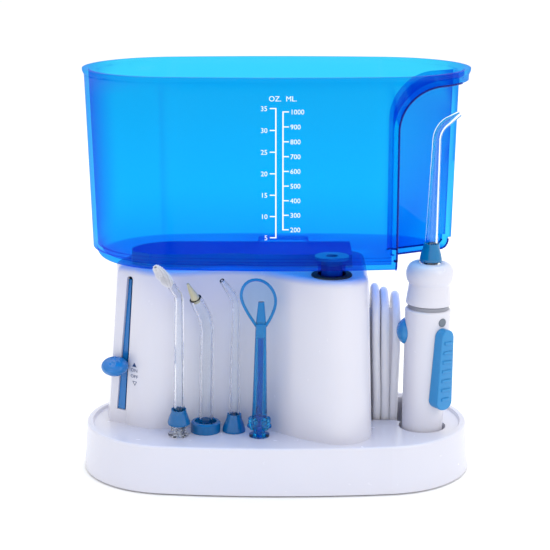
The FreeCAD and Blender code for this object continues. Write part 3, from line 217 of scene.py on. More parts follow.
# The outlet hangs below the wall, so the foot is looked for only far from the middle.
TANK_FOOT = min(v.co.z for v in nodes["reservoir"].data.vertices if abs(v.co.x) > 80 * MM) / MM
print("foot of the reservoir, mm:", round(TANK_FOOT, 1))
tank_blue = clear("tinted_reservoir_styrene", "#36CCF4", "#3FC0FA", 0.03, 1.001, "#0C7CE8", (TANK_FOOT, 160),
                  0.12)
edge_blue = clear("tinted_reservoir_edge", "#123099", "#3FC0FA", 0.03, 1.001, coat=0.3)
clear_styrene = clear("clear_tip_styrene", "#F8FAFC", "#F4F8FA", 0.0, 1.36)
tongue_blue = clear("tinted_tongue_cleaner_styrene", "#16A4E4", "#6CC0EE", 0.0, 1.4, "#0648A8")
valve_blue = clear("tinted_cup_styrene", "#8ED8F8", "#B0E0FA", 0.1)
print("clear plastics ready")

# %% [markdown]
# ## Metals
# The screws and the motor's can are zinc plated, and the shafts are ground steel. They sit inside or under the
# body, so one recipe with a fine uneven gloss is enough. Metals keep the default index of refraction.

# %% Metals
def metal(name, colour, roughness):
    """Bare metal with a fine uneven gloss."""
    material, tree, output = new_material(name)
    place = add(tree, "ShaderNodeTexCoord").outputs["Object"]
    noise = add(tree, "ShaderNodeTexNoise", Vector=place, Scale=700.0, Detail=3.0)
    gloss = add(tree, "ShaderNodeMapRange", Value=noise.outputs["Fac"])
    gloss.inputs["To Min"].default_value = roughness * 0.7
    gloss.inputs["To Max"].default_value = roughness * 1.3
    shader = add(tree, "ShaderNodeBsdfPrincipled", Base_Color=linear(colour), Metallic=1.0,
                 Roughness=gloss.outputs[0])
    return finish(material, tree, output, shader)


zinc_steel = metal("zinc_plated_steel", "#B9BBBE", 0.35)
ground_steel = metal("ground_steel", "#C4C5C8", 0.25)
print("metals ready")

# %% [markdown]
# ## Who gets which finish
# Every solid part is given one material here. They could be set one line at a time, but a table of material
# and parts shows at a glance what the product is made of, and it is easy to check that no part is left out.

# %% Paint the solid parts
PAINT = {
    polished_white_abs: ["base_cover", "tower_shell", "tower_saddle", "handle_shell", "nozzle_knob",
                         "hose_fitting", "hose_tray"],
    grey_pp: ["bottom_plate", "pump_frame", "regulator_body", "pump_cylinder", "valve_chest"],
    satin_white_pp: ["hose_nipple"],
    # painted shade: the handle's core is dark grey to stand for the shade in the groove under the knob's collar
    painted_groove_shade: ["handle_core"],
    smoke_silicone: ["duckbill_valve"],
    dark_foot_rubber: ["rubber_feet"],
    zinc_steel: ["screws", "motor_can"],
    ground_steel: ["motor_shaft", "wheel_axle", "valve_balls"],
    pale_rubber: ["cord_gland"],
    black_rubber: ["valve_seat", "piston_seal", "nozzle_seal", "power_switch"],
    valve_blue: ["inlet_cup", "inlet_strainer"],
    lever_blue_abs: ["slider_track", "slider_paddle"],
    white_acetal: ["slider_rack", "regulator_dial", "regulator_spindle", "motor_pinion", "drive_wheel",
                   "connecting_rod", "piston", "pause_spool"],
    milky_silicone: ["inlet_tube", "outlet_tube", "flow_tube"],
    tank_blue: ["reservoir"],
    grip_blue_tpe: ["grip_slider"],
    button_blue_abs: ["eject_button"],
    grey_mark: ["indicator_dot"],
    clear_styrene: ["tip_washer", "jet_tube", "brush_tube", "pocket_tube", "spare_tube"],
    ring_teal_abs: ["jet_ring"],
    ring_blue_abs: ["brush_ring", "pocket_ring", "spare_ring"],
    cream_rubber: ["pocket_rubber"],
    tongue_blue: ["tongue_cleaner"],
}
painted = set()
for material, names in PAINT.items():
    for name in names:
        nodes[name].data.materials.clear()
        nodes[name].data.materials.append(material)
        painted.add(name)
print("not painted yet:", sorted(set(nodes) - painted))

# %% [markdown]
# ## The film of the tongue cleaner
# The dish of the tongue cleaner is a film about half a millimetre thick inside a thick rim, so it is far paler
# than the rest. It could be cut off as its own piece. A second material on the faces of the film does the same
# and leaves the solid whole.

# %% Film of the tongue cleaner
FILM_Y, FILM_LOW = -28.2, 90.5
film_blue = clear("tongue_cleaner_film", "#DCF0FC", "#E8F4FC", 0.02, 1.05)
cleaner = nodes["tongue_cleaner"].data
cleaner.materials.append(film_blue)
for face in cleaner.polygons:
    at = face.center / MM
    if abs(at.y - FILM_Y) < 0.5 and abs(face.normal.y) > 0.85 and at.z > FILM_LOW:
        face.material_index = 1
print("film faces:", sum(face.material_index for face in cleaner.polygons))

# %% [markdown]
# ## Helpers for modelling
# The new pieces are shaped as by hand: a primitive first, then edit mode. An operator works on everything
# that is selected, so one helper makes a piece the only selection and another selects faces or edges by
# where they are. A last one moves the finished shape into its mesh, because every piece here keeps its
# object at the origin.

# %% Modelling helpers
def only(piece):
    """Make this the only selected object, and the active one."""
    bpy.ops.object.select_all(action="DESELECT")
    piece.select_set(True)
    bpy.context.view_layer.objects.active = piece


def pick(piece, kind, test):
    """Enter edit mode with only those faces, edges or points selected that pass the test."""
    only(piece)
    bpy.ops.object.mode_set(mode="EDIT")
    bpy.ops.mesh.select_mode(type=kind)
    bpy.ops.mesh.select_all(action="DESELECT")
    bpy.ops.object.mode_set(mode="OBJECT")
    points = piece.data.vertices
    if kind == "FACE":
        for face in piece.data.polygons:
            face.select = test(face.center / MM, face.normal)
    elif kind == "EDGE":
        for edge in piece.data.edges:
            a, b = (points[i].co for i in edge.vertices)
            edge.select = test((a + b) / 2 / MM, (b - a).normalized())
    else:
        for point in points:
            point.select = test(point.co / MM, None)
    bpy.ops.object.mode_set(mode="EDIT")


def done():
    """Leave edit mode."""
    bpy.ops.object.mode_set(mode="OBJECT")


def settle(piece, place=None):
    """Move the object's placement, and one more if given in metres, into its mesh."""
    piece.data.transform((place or Matrix.Identity(4)) @ piece.matrix_world)
    piece.matrix_world = Matrix.Identity(4)
    return piece


def bar(name, size, middle):
    """A block of a stated size in millimetres, as the start of a piece."""
    bpy.ops.object.select_all(action="DESELECT")
    bpy.ops.mesh.primitive_cube_add(size=1.0)
    piece = bpy.context.object
    piece.name = name
    stretch = Matrix.Diagonal((*(Vector(size) * MM), 1.0))
    piece.data.transform(Matrix.Translation(Vector(middle) * MM) @ stretch)
    return piece


def copy_of(piece, place):
    """A copy with its own mesh, carried by a matrix in metres."""
    twin = piece.copy()
    twin.data = piece.data.copy()
    twin.data.transform(place)
    bpy.context.scene.collection.objects.link(twin)
    return twin


def joined(name, pieces):
    """Join the pieces into one mesh."""
    only(pieces[0])
    for piece in pieces:
        piece.select_set(True)
    if len(pieces) > 1:
        bpy.ops.object.join()
    whole = bpy.context.object
    whole.name = whole.data.name = name
    return whole


def hand_over(piece, material, body, instead_of=None):
    """Give a finished piece its material, its body and the solid that it stands in for."""
    piece.data.materials.clear()
    piece.data.materials.append(material)
    if instead_of:
        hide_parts(instead_of)
    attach(piece, body)
    print(piece.name, "has", len(piece.data.polygons), "faces")


def frame_at(foot, *turns):
    """A placement from a point in millimetres and turns such as (angle in degrees, axis letter)."""
    place = Matrix.Translation(Vector(foot) * MM)
    for angle, axis in turns:
        place = place @ Matrix.Rotation(math.radians(angle), 4, axis)
    return place


HANDLE = frame_at((84.25, -9.0, 21.0), (1.7, "Y"))
GRIP = HANDLE @ Matrix.Rotation(math.radians(-55.0), 4, "Z")
print("handle leans", round(math.degrees(HANDLE.to_euler().y), 1), "degrees")

# %% [markdown]
# ## The pause grip
# The thumb rides on a raised pad with seven ribs, moulded in a soft satin blue. It could be one sculpted mesh;
# a block with bevelled corners, one rib copied seven times and a cut that fits the round handle keep every
# size plain to read.

# %% Pad of the pause grip
pad_low, pad_high, pad_face = 19.4, 66.4, 18.85
pad = bar("pause_grip", (8.6, 10.8, pad_high - pad_low), (pad_face - 4.3, 0, (pad_low + pad_high) / 2))
pick(pad, "EDGE", lambda at, along: abs(along.x) > 0.9)
bpy.ops.mesh.bevel(offset=4.9 * MM, segments=10)
done()
pick(pad, "VERT", lambda at, _: at.z > pad_high - 12)
bpy.ops.transform.resize(value=(1.0, 0.8, 1.0), center_override=(pad_face * MM, 0, pad_high * MM))
done()
pick(pad, "FACE", lambda at, out: out.x > 0.99)
bpy.ops.mesh.bevel(offset=0.8 * MM, segments=4, affect="EDGES")
done()
bpy.ops.object.select_all(action="DESELECT")
bpy.ops.mesh.primitive_cone_add(vertices=96, radius1=11.97 * MM, radius2=13.74 * MM, depth=90 * MM,
                                location=(0, 0, 45 * MM))
hollow = bpy.context.object
settle(hollow)
only(pad)
cut = pad.modifiers.new("round_back", "BOOLEAN")
cut.operation, cut.object, cut.solver = "DIFFERENCE", hollow, "EXACT"
bpy.ops.object.modifier_apply(modifier="round_back")
bpy.data.objects.remove(hollow)
print("pad has", len(pad.data.polygons), "faces")

# %% Ribs of the pause grip
RIB_WIDTH, RIB_PITCH, FIRST_RIB = 6.0, 5.5, 6.6
rib = bar("rib", (1.6, RIB_WIDTH, 1.7), (pad_face, 0, 0))
pick(rib, "EDGE", lambda at, along: at.x > pad_face)
bpy.ops.mesh.bevel(offset=0.42 * MM, segments=3)
done()
ribs = []
for row, width in enumerate((5.2, 6.0, 6.4, 6.5, 6.4, 6.0, 5.0)):
    lift = Matrix.Translation((0, 0, (pad_low + FIRST_RIB + RIB_PITCH * row) * MM))
    ribs.append(copy_of(rib, lift @ Matrix.Diagonal((1.0, width / RIB_WIDTH, 1.0, 1.0))))
bpy.data.objects.remove(rib)
pause_grip = joined("pause_grip", [pad] + ribs)
bpy.ops.object.shade_smooth_by_angle(angle=math.radians(35))
settle(pause_grip, GRIP)
hand_over(pause_grip, grip_blue_tpe, "pause_slider", "grip_slider")

# %% [markdown]
# ## The reservoir and its edges
# A thick corner of tinted plastic is looked through lengthways, so it shows as a dark line round the alcove for
# the handle. A bevel on the whole shell would be the plain way, but the thin triangles along the curved walls
# hold its width down to nothing. So the mesh is copied and its loose triangles are merged, and the sharp edges
# round the alcove are copied off as wires with a round section of about a millimetre, in a deeper tint.

# %% Reservoir
ALCOVE_LEFT, ALCOVE_TOP, ALCOVE_ROUND, ALCOVE_FOOT = 65.6, 226.2, 23.0, 131.0
EDGE_RADIUS = 0.55


def off_the_arch(at):
    """Distance in millimetres from the alcove's rounded outline, looking along Y."""
    right, up = ALCOVE_LEFT + ALCOVE_ROUND - at.x, at.z - ALCOVE_TOP + ALCOVE_ROUND
    return math.hypot(max(right, 0), max(up, 0)) + min(max(right, up), 0) - ALCOVE_ROUND


def round_the_alcove(at):
    """Whether a place lies on the front edge of the alcove or on its foot."""
    arch = abs(off_the_arch(at)) < 1.3 and at.y < -25
    return at.x > 64 and (arch or (at.z < ALCOVE_FOOT and at.x > 67))


tank = copy_of(nodes["reservoir"], Matrix())
tank.name = "tinted_reservoir"
pick(tank, "VERT", lambda at, _: True)
bpy.ops.mesh.remove_doubles(threshold=0.002 * MM)
done()
only(tank)
bpy.ops.object.mode_set(mode="EDIT")
bpy.ops.mesh.select_mode(type="EDGE")
bpy.ops.mesh.select_all(action="DESELECT")
bpy.ops.mesh.edges_select_sharp(sharpness=math.radians(40))
bpy.ops.mesh.duplicate()
bpy.ops.mesh.separate(type="SELECTED")
bpy.ops.object.mode_set(mode="OBJECT")
wires = next(piece for piece in bpy.context.selected_objects if piece != tank)
pick(wires, "EDGE", lambda at, _: not round_the_alcove(at))
bpy.ops.mesh.delete(type="EDGE")
done()
only(wires)
bpy.ops.object.convert(target="CURVE")
wires.data.bevel_depth, wires.data.bevel_resolution = EDGE_RADIUS * MM, 2
bpy.ops.object.convert(target="MESH")
wires.data.materials.clear()
print("edge wires have", len(wires.data.polygons), "faces")
hand_over(tank, tank_blue, "lift_off_reservoir", "reservoir")
hand_over(wires, edge_blue, "lift_off_reservoir")
wires.name = "reservoir_edges"
only(tank)
bpy.ops.object.shade_smooth_by_angle(angle=math.radians(42))

# %% [markdown]
# ## Finger paddle of the pressure slider
# The paddle is a glossy moulded oval with a shallow dish for the finger, facing up and forwards. It could be a
# bevelled disc, but a sphere stretched to the solid paddle's box has no edge to catch the light wrongly. Four
# caps, each smaller than the last, are pushed in a little, which sinks the dish step by step.

# %% Paddle
corners = [Vector(v.co) for v in nodes["slider_paddle"].data.vertices]
low = Vector([min(c[i] for c in corners) for i in range(3)])
high = Vector([max(c[i] for c in corners) for i in range(3)])
middle, half = (low + high) / 2, (high - low) / 2
bpy.ops.object.select_all(action="DESELECT")
bpy.ops.mesh.primitive_uv_sphere_add(segments=48, ring_count=32, radius=1.0)
paddle = bpy.context.object
paddle.name = "dished_paddle"
middle.x -= 1.4 * MM
paddle.data.transform(Matrix.Translation(middle) @ Matrix.Diagonal((half.x * 0.92, half.y, half.z * 1.12, 1)))
settle(paddle)
face_on = Vector((-0.15, -0.75, 0.64))
DISH_STEP = 0.55


def towards_the_finger(at):
    """How far a place lies along the facing direction, as a share of the paddle's half size."""
    return sum((at[i] * MM - middle[i]) / half[i] * face_on[i] for i in range(3))


for reach in (0.70, 0.78, 0.86, 0.93):
    pick(paddle, "VERT", lambda at, _: towards_the_finger(at) > reach)
    bpy.ops.transform.translate(value=-DISH_STEP * MM * face_on)
    done()
bpy.ops.object.shade_smooth_by_angle(angle=math.radians(60))
print("paddle box, mm:", [round(v, 1) for v in (*(low / MM), *(high / MM))])
hand_over(paddle, lever_blue_abs, "pressure_slider", "slider_paddle")

# %% [markdown]
# ## The turning knob
# The knob that the jet tip sits in is a turned shape: a flared collar, a waist and a rounded bead. Half of its
# outline is drawn once and spun round the handle's axis, which is how such a form is drawn on a lathe. A
# smooth row of points along the bead keeps it round where a solid model shows flats.

# %% Knob
def spun(name, outline, steps=96):
    """Spin an outline of (radius, height) in millimetres round Z, and close it."""
    bpy.ops.object.select_all(action="DESELECT")
    bpy.ops.mesh.primitive_plane_add(size=1.0)
    piece = bpy.context.object
    piece.name = name
    pick(piece, "VERT", lambda at, _: True)
    bpy.ops.mesh.merge(type="CENTER")
    radius, height = outline[0]
    bpy.ops.transform.translate(value=(radius * MM, 0, height * MM))
    for (r0, z0), (r1, z1) in zip(outline, outline[1:] + outline[:1]):
        step = ((r1 - r0) * MM, 0, (z1 - z0) * MM)
        bpy.ops.mesh.extrude_vertices_move(TRANSFORM_OT_translate={"value": step})
    bpy.ops.mesh.select_all(action="SELECT")
    bpy.ops.mesh.spin(steps=steps, angle=math.tau, center=(0, 0, 0), axis=(0, 0, 1))
    bpy.ops.mesh.select_all(action="SELECT")
    bpy.ops.mesh.remove_doubles(threshold=0.002 * MM)
    bpy.ops.mesh.normals_make_consistent(inside=False)
    done()
    return piece


bead = [(9.0 + 4.6 * math.cos(a), 95.3 + 6.6 * math.sin(a)) for a in map(math.radians, range(-50, 86, 9))]
collar = [(4.9, 65.6), (4.9, 78.0), (12.1, 78.0), (12.7, 78.2), (12.9, 78.7), (12.5, 82.5), (12.05, 86.5),
          (11.75, 89.2), (11.7, 89.8)]
bore = [(7.6, 102.0), (4.2, 102.0), (4.2, 92.0), (1.6, 91.0), (1.6, 65.6)]
knob = spun("turning_knob", collar + bead + bore)
only(knob)
bpy.ops.object.shade_smooth_by_angle(angle=math.radians(38))
settle(knob, HANDLE)
hand_over(knob, polished_white_abs, "turning_nozzle", "nozzle_knob")

# %% [markdown]
# ## Clear stems
# The tips are thin tubes of clear styrene. Each starts as a ring, is drawn out along its straight runs, is spun
# round the middle of each bend, and narrows as it goes. A Solidify modifier then gives the wall, so that the
# water way shows through the tube as a second line of light.

# %% Stems
def stem(name, path, radii, bends, wall, sides=40):
    """A tapered clear tube along straight runs and round bends, all in millimetres."""
    path = [Vector(p) for p in path]
    along = (path[1] - path[0]).normalized()
    bpy.ops.object.select_all(action="DESELECT")
    bpy.ops.mesh.primitive_circle_add(vertices=sides, radius=radii[0] * MM, location=path[0] * MM,
                                      rotation=along.to_track_quat("Z", "Y").to_euler())
    piece = bpy.context.object
    settle(piece)
    pick(piece, "EDGE", lambda at, out: True)
    at, width = path[0], radii[0]

    def run(target, new_width):
        nonlocal at, width
        for part in range(3):
            to, w = at + (target - at) / (3 - part), width + (new_width - width) / (3 - part)
            bpy.ops.mesh.extrude_edges_move(TRANSFORM_OT_translate={"value": (to - at) * MM})
            bpy.ops.transform.resize(value=(w / width,) * 3, center_override=to * MM)
            at, width = to, w

    for index, bend in enumerate(bends):
        corner, after = path[index + 1], path[index + 2]
        into, out = (corner - path[index]).normalized(), (after - corner).normalized()
        turn = into.angle(out)
        back = bend * math.tan(turn / 2)
        run(corner - into * back, radii[index + 1])
        middle = at + (out - into * into.dot(out)).normalized() * bend
        axis = into.cross(out).normalized()
        bpy.ops.mesh.spin(steps=10, angle=turn, center=middle * MM, axis=-axis)
        at = corner + out * back
    run(path[-1], radii[-1])
    bpy.ops.mesh.select_all(action="SELECT")
    bpy.ops.mesh.remove_doubles(threshold=0.001 * MM)
    bpy.ops.mesh.normals_make_consistent(inside=False)
    done()
    only(piece)
    shell = piece.modifiers.new("wall", "SOLIDIFY")
    shell.thickness, shell.offset, shell.use_even_offset = wall * MM, -1.0, True
    bpy.ops.object.modifier_apply(modifier="wall")
    bpy.ops.object.shade_smooth_by_angle(angle=math.radians(50))
    piece.name = name
    return piece


jet_stem = stem("jet_stem", [(0, 0, 112), (0, 0, 178.5), (11.9, 0, 187.0)], [3.65, 2.5, 1.6], [13.0], 0.9)
jet_root = stem("jet_root", [(0, 0, 93.2), (0, 0, 111.9)], [3.65, 3.65], [], 1.5)
jet = joined("jet_tip_tube", [jet_stem, jet_root])
settle(jet, HANDLE)
hand_over(jet, clear_styrene, "jet_tip", "jet_tube")
pocket = stem("pocket_tip_tube", [(-40.4, -20.0, 27.0), (-38.9, -20.0, 91.2), (-45.1, -25.5, 105.7)],
              [4.15, 3.95, 3.55], [27.0], 1.3)
hand_over(pocket, clear_styrene, "pocket_tip", "pocket_tube")
spare = stem("spare_tip_tube", [(-24.19, -19.6, 26.6), (-22.5, -19.0, 103.2), (-30.2, -27.0, 116.6)],
             [3.1, 2.3, 1.4], [14.0], 0.75)
hand_over(spare, clear_styrene, "spare_jet_tip", "spare_tube")

# %% [markdown]
# ## Brush tip's stem and foot
# The brush tip's stem bends twice, and below its coloured ring its foot has four ribs that click into the knob.
# The foot is a lathe shape like the knob, so the same helper spins it. A bisect cuts it level with the deck,
# because the tip leans.

# %% Stem and ribbed foot of the brush tip
BRUSH_FOOT, BRUSH_BEND = Vector((-55.4, -26.8, 26.05)), Vector((-53.6, -35.4, 109.6))
DECK_CUT = 26.08
brush = stem("brush_tip_tube", [(-55.4, -26.8, 26.3), BRUSH_BEND, (-57.3, -46.6, 119.0), (-61.5, -52.5, 126.1)],
             [3.2, 2.45, 2.25, 2.15], [8.0, 22.0], 1.0)
foot = spun("brush_foot", [(3.3, 0.1), (5.9, 0.1), (6.0, 0.3), (6.0, 0.9), (5.8, 1.1), (3.6, 1.5), (3.6, 2.6),
                           (4.3, 2.9), (4.3, 3.4), (3.6, 3.8), (3.6, 4.6), (4.4, 4.9), (4.4, 5.5), (3.6, 5.9),
                           (3.6, 6.4), (4.6, 6.8), (4.6, 7.25), (3.3, 7.25)], 48)
only(foot)
bpy.ops.object.shade_smooth_by_angle(angle=math.radians(30))
lean = (BRUSH_BEND - BRUSH_FOOT).normalized().to_track_quat("Z", "Y").to_matrix().to_4x4()
settle(foot, Matrix.Translation(BRUSH_FOOT * MM) @ lean)
pick(foot, "VERT", lambda at, _: True)
bpy.ops.mesh.bisect(plane_co=(0, 0, DECK_CUT * MM), plane_no=(0, 0, 1), clear_inner=True, use_fill=True)
done()
brush = joined("brush_tip_tube", [brush, foot])
print("repaired:", brush.data.validate())
hand_over(brush, clear_styrene, "brush_tip", "brush_tube")

# %% [markdown]
# ## Bristles of the brush tip
# The brush tip ends in a soft tapered head of white nylon bristles. One tuft is a thin five-sided cone; copies
# are set along the stem in a sunflower spiral, so no two rows line up, and lean forwards to a rounded outline.
# The tufts are drawn 0.6 mm thick, coarser than real bristle, so that they show. Hair particles would need their
# own render settings, and real meshes export as they are.

# %% Bristle head
head_low, head_high = Vector((-57.7, -47.3, 119.3)), Vector((-64.9, -57.6, 131.7))
head_axis = (head_high - head_low).normalized()
head_length = (head_high - head_low).length
to_head = Matrix.Translation(head_low * MM) @ head_axis.to_track_quat("Z", "Y").to_matrix().to_4x4()
outline = ((0.0, 2.3), (0.1, 2.7), (0.3, 3.05), (0.55, 3.0), (0.8, 2.4), (0.93, 1.7), (1.0, 0.9))


def head_radius(share):
    """Radius of the head, in millimetres, at a share of its length."""
    for (s0, r0), (s1, r1) in zip(outline, outline[1:]):
        if share <= s1:
            return r0 + (r1 - r0) * (share - s0) / (s1 - s0)
    return outline[-1][1]


bpy.ops.object.select_all(action="DESELECT")
bpy.ops.mesh.primitive_cone_add(vertices=5, radius1=0.34 * MM, radius2=0.3 * MM, depth=1.0)
bristle = bpy.context.object
bristle.data.transform(Matrix.Translation((0, 0, 0.5)))
settle(bristle)
GOLDEN_ANGLE = 2.39996
bristles, count = [], 300
for index in range(count):
    share = 0.02 + 0.98 * (index + 0.5) / count
    around = GOLDEN_ANGLE * index
    tip_r = head_radius(share) + 0.28 * ((index % 3) - 1)
    root_share = max(0.0, share - 0.16 - 0.1 * share)
    tip = Vector((tip_r * math.cos(around), tip_r * math.sin(around), head_length * share))
    root = Vector((1.1 * math.cos(around), 1.1 * math.sin(around), head_length * root_share))
    lean = (tip - root)
    place = Matrix.Translation(root * MM) @ lean.to_track_quat("Z", "Y").to_matrix().to_4x4()
    bristles.append(copy_of(bristle, place @ Matrix.Diagonal((1, 1, lean.length * MM, 1))))
bpy.ops.object.select_all(action="DESELECT")
bpy.ops.mesh.primitive_uv_sphere_add(segments=24, ring_count=16, radius=1.0)
core = bpy.context.object
core.data.transform(Matrix.Translation((0, 0, head_length * 0.47 * MM))
                    @ Matrix.Diagonal((1.6 * MM, 1.6 * MM, head_length * 0.42 * MM, 1)))
pick(core, "VERT", lambda at, _: at.z < head_length * 0.25)
bpy.ops.transform.resize(value=(0.8, 0.8, 1.0), center_override=(0, 0, 0))
done()
bpy.data.objects.remove(bristle)
bristle_head = joined("bristle_head", [core] + bristles)
bpy.ops.object.shade_smooth_by_angle(angle=math.radians(60))
settle(bristle_head, to_head)
white_nylon = moulded("white_nylon_bristle", "#E6E6EC", 0.6, ripple=0.0, tint=0.1)
hand_over(bristle_head, white_nylon, "brush_tip", "brush_head")

# %% [markdown]
# ## Printed marks
# The measuring scale on the reservoir and the switch marks on the tower are pad printed: a film of ink a few
# hundredths of a millimetre thick that follows the curved wall. Each mark is drawn flat, given a little depth,
# and then every point is set back onto the wall behind it. The film is 0.12 mm here, so that it catches light.

# %% Flat marks
INK = 0.12
UPRIGHT = Matrix.Rotation(math.radians(90), 4, "X")


def printed_bar(x0, x1, z0, z1):
    """One printed line, in millimetres, facing -Y at y = 0."""
    bpy.ops.object.select_all(action="DESELECT")
    bpy.ops.mesh.primitive_plane_add(size=1.0)
    line = bpy.context.object
    size = Matrix.Diagonal(((x1 - x0) * MM, (z1 - z0) * MM, 1, 1))
    line.data.transform(Matrix.Translation(Vector(((x0 + x1) / 2, 0, (z0 + z1) / 2)) * MM) @ UPRIGHT @ size)
    only(line)
    bpy.ops.object.mode_set(mode="EDIT")
    bpy.ops.mesh.select_all(action="SELECT")
    cuts = int((z1 - z0) / 8)
    if cuts > 1:
        bpy.ops.mesh.subdivide(number_cuts=min(cuts, 10))
    bpy.ops.mesh.extrude_region_move(TRANSFORM_OT_translate={"value": (0, -INK * MM, 0)})
    bpy.ops.mesh.select_all(action="SELECT")
    bpy.ops.mesh.normals_make_consistent(inside=False)
    bpy.ops.object.mode_set(mode="OBJECT")
    return line


def printed_text(words, x, z, height, align="LEFT"):
    """Printed figures of a stated capital height, standing on z, facing -Y at y = 0."""
    bpy.ops.object.select_all(action="DESELECT")
    bpy.ops.object.text_add()
    text = bpy.context.object
    text.data.body, text.data.align_x = words, align
    text.data.size, text.data.extrude, text.data.resolution_u = height * 1.38 * MM, INK / 2 * MM, 3
    bpy.ops.object.convert(target="MESH")
    text = bpy.context.object
    text.data.transform(Matrix.Translation(Vector((x, -INK / 2, z)) * MM) @ UPRIGHT)
    return text


print("a printed line is", INK, "mm deep")

# %% [markdown]
# ## Measuring scale
# Two upright lines with steps and numbers show ounces and millilitres. The wall is a drafted oval of known size,
# so its depth at any place follows from the oval's own formula, and every point of the ink is set back to it.

# %% Measuring scale on the reservoir
def tank_front(x, z):
    """Depth, in millimetres, of the reservoir's front wall."""
    draw = 3.2 * (232.4 - z) / (232.4 - 126.0)
    half_x, half_y, end_r = 107.0 - draw, 54.0 - draw, 51.0 - draw
    reach = half_x - end_r
    side_r = (reach ** 2 + half_y ** 2 - end_r ** 2) / (2 * (half_y - end_r))
    return side_r - half_y - math.sqrt(side_r ** 2 - x ** 2)


scale_marks = [printed_bar(-0.35, 0.35, 146.0, 216.7), printed_bar(3.45, 4.15, 150.4, 214.9)]
for step in range(7):
    z = 146.3 + (216.4 - 146.3) * step / 6
    scale_marks.append(printed_bar(-3.2, 0.0, z - 0.3, z + 0.3))
    scale_marks.append(printed_text(str(5 + 5 * step), -4.4, z - 1.35, 2.7, "RIGHT"))
for step in range(9):
    z = 150.7 + (214.6 - 150.7) * step / 8
    scale_marks.append(printed_bar(3.8, 6.9, z - 0.3, z + 0.3))
    scale_marks.append(printed_text(str(200 + 100 * step), 7.6, z - 1.35, 2.7))
scale_marks.append(printed_text("OZ.", -0.4, 220.2, 2.9, "CENTER"))
scale_marks.append(printed_text("ML.", 8.2, 220.2, 2.9, "CENTER"))
scale = joined("measuring_scale", scale_marks)
for point in scale.data.vertices:
    at = point.co / MM
    point.co.y = (tank_front(at.x, at.z) + at.y) * MM
settle(scale)
white_ink = moulded("white_printing_ink", "#E6F1FB", 0.5, ripple=0.0, tint=0.01)
hand_over(scale, white_ink, "lift_off_reservoir")

# %% [markdown]
# ## Switch marks
# Beside the pressure slot stand ON and OFF with an arrow above and one below, the lower one in outline. The wall
# is curved both ways, so a ray from the front finds the wall behind each point and the ink is laid on it.

# %% Switch marks on the tower
marks = [printed_text("ON", -81.6, 58.4, 1.9, "CENTER"), printed_text("OFF", -81.6, 54.8, 1.9, "CENTER")]
for z, rise in ((62.2, 1.0), (52.0, -1.0)):
    bpy.ops.object.select_all(action="DESELECT")
    bpy.ops.mesh.primitive_circle_add(vertices=3, radius=1.0, fill_type="NGON")
    arrow = bpy.context.object
    flip = Matrix.Diagonal((1.55 * MM, 1.75 * MM * rise, 1, 1))
    arrow.data.transform(Matrix.Translation(Vector((-81.4, 0, z)) * MM) @ UPRIGHT @ flip)
    pick(arrow, "FACE", lambda at, out: True)
    if rise < 0:
        bpy.ops.mesh.inset(thickness=0.28 * MM)
        bpy.ops.mesh.delete(type="FACE")
        bpy.ops.mesh.select_all(action="SELECT")
    bpy.ops.mesh.extrude_region_move(TRANSFORM_OT_translate={"value": (0, -INK * MM, 0)})
    bpy.ops.mesh.select_all(action="SELECT")
    bpy.ops.mesh.normals_make_consistent(inside=False)
    done()
    marks.append(arrow)
switch_marks = joined("switch_marks", marks)
tower = nodes["tower_shell"]
for point in switch_marks.data.vertices:
    hit, where, _, _ = tower.ray_cast(Vector((point.co.x, -0.2, point.co.z)), Vector((0, 1, 0)))
    point.co.y += where.y if hit else 0.0
settle(switch_marks)
blue_ink = moulded("dark_blue_printing_ink", "#2A4470", 0.5, ripple=0.0, tint=0.01)
hand_over(switch_marks, blue_ink, "base")

# %% [markdown]
# ## The wound hose
# The handle's hose is white flexible tube, 4.7 mm thick. It leaves a boss on the tower's side, is wound twice
# close to the boss and three times round that, then runs along the floor of the well and up into the handle.
# One open curve carries the whole length. Each turn has its own place along the boss and its own height,
# because a hose wound by hand fans out at the top.

# %% Hose
HOSE_D = 4.7 * MM


def winding(turn, layer_r, x, drop):
    """A point of an upright winding, in millimetres. Turn counts from the bottom, going forwards and up."""
    middle_y, low_z, high_z = 22.25, 27.65, 83.15 - drop
    run, arc = high_z - low_z, math.pi * layer_r
    s = (turn % 1.0) * 2 * (run + arc)
    if s < arc / 2:
        a = s / layer_r
        return Vector((x, middle_y - layer_r * math.sin(a), low_z - layer_r * math.cos(a)))
    s -= arc / 2
    if s < run:
        return Vector((x, middle_y - layer_r, low_z + s))
    s -= run
    if s < arc:
        a = s / layer_r
        return Vector((x, middle_y - layer_r * math.cos(a), high_z + layer_r * math.sin(a)))
    s -= arc
    if s < run:
        return Vector((x, middle_y + layer_r, high_z - s))
    a = (s - run) / layer_r
    return Vector((x, middle_y + layer_r * math.cos(a), low_z - layer_r * math.sin(a)))


def between(table, at):
    """Smooth reading of a table of (turn, value)."""
    for (t0, v0), (t1, v1) in zip(table, table[1:]):
        if at <= t1:
            share = max(0.0, (at - t0) / (t1 - t0))
            return v0 + (v1 - v0) * share * share * (3 - 2 * share)
    return table[-1][1]


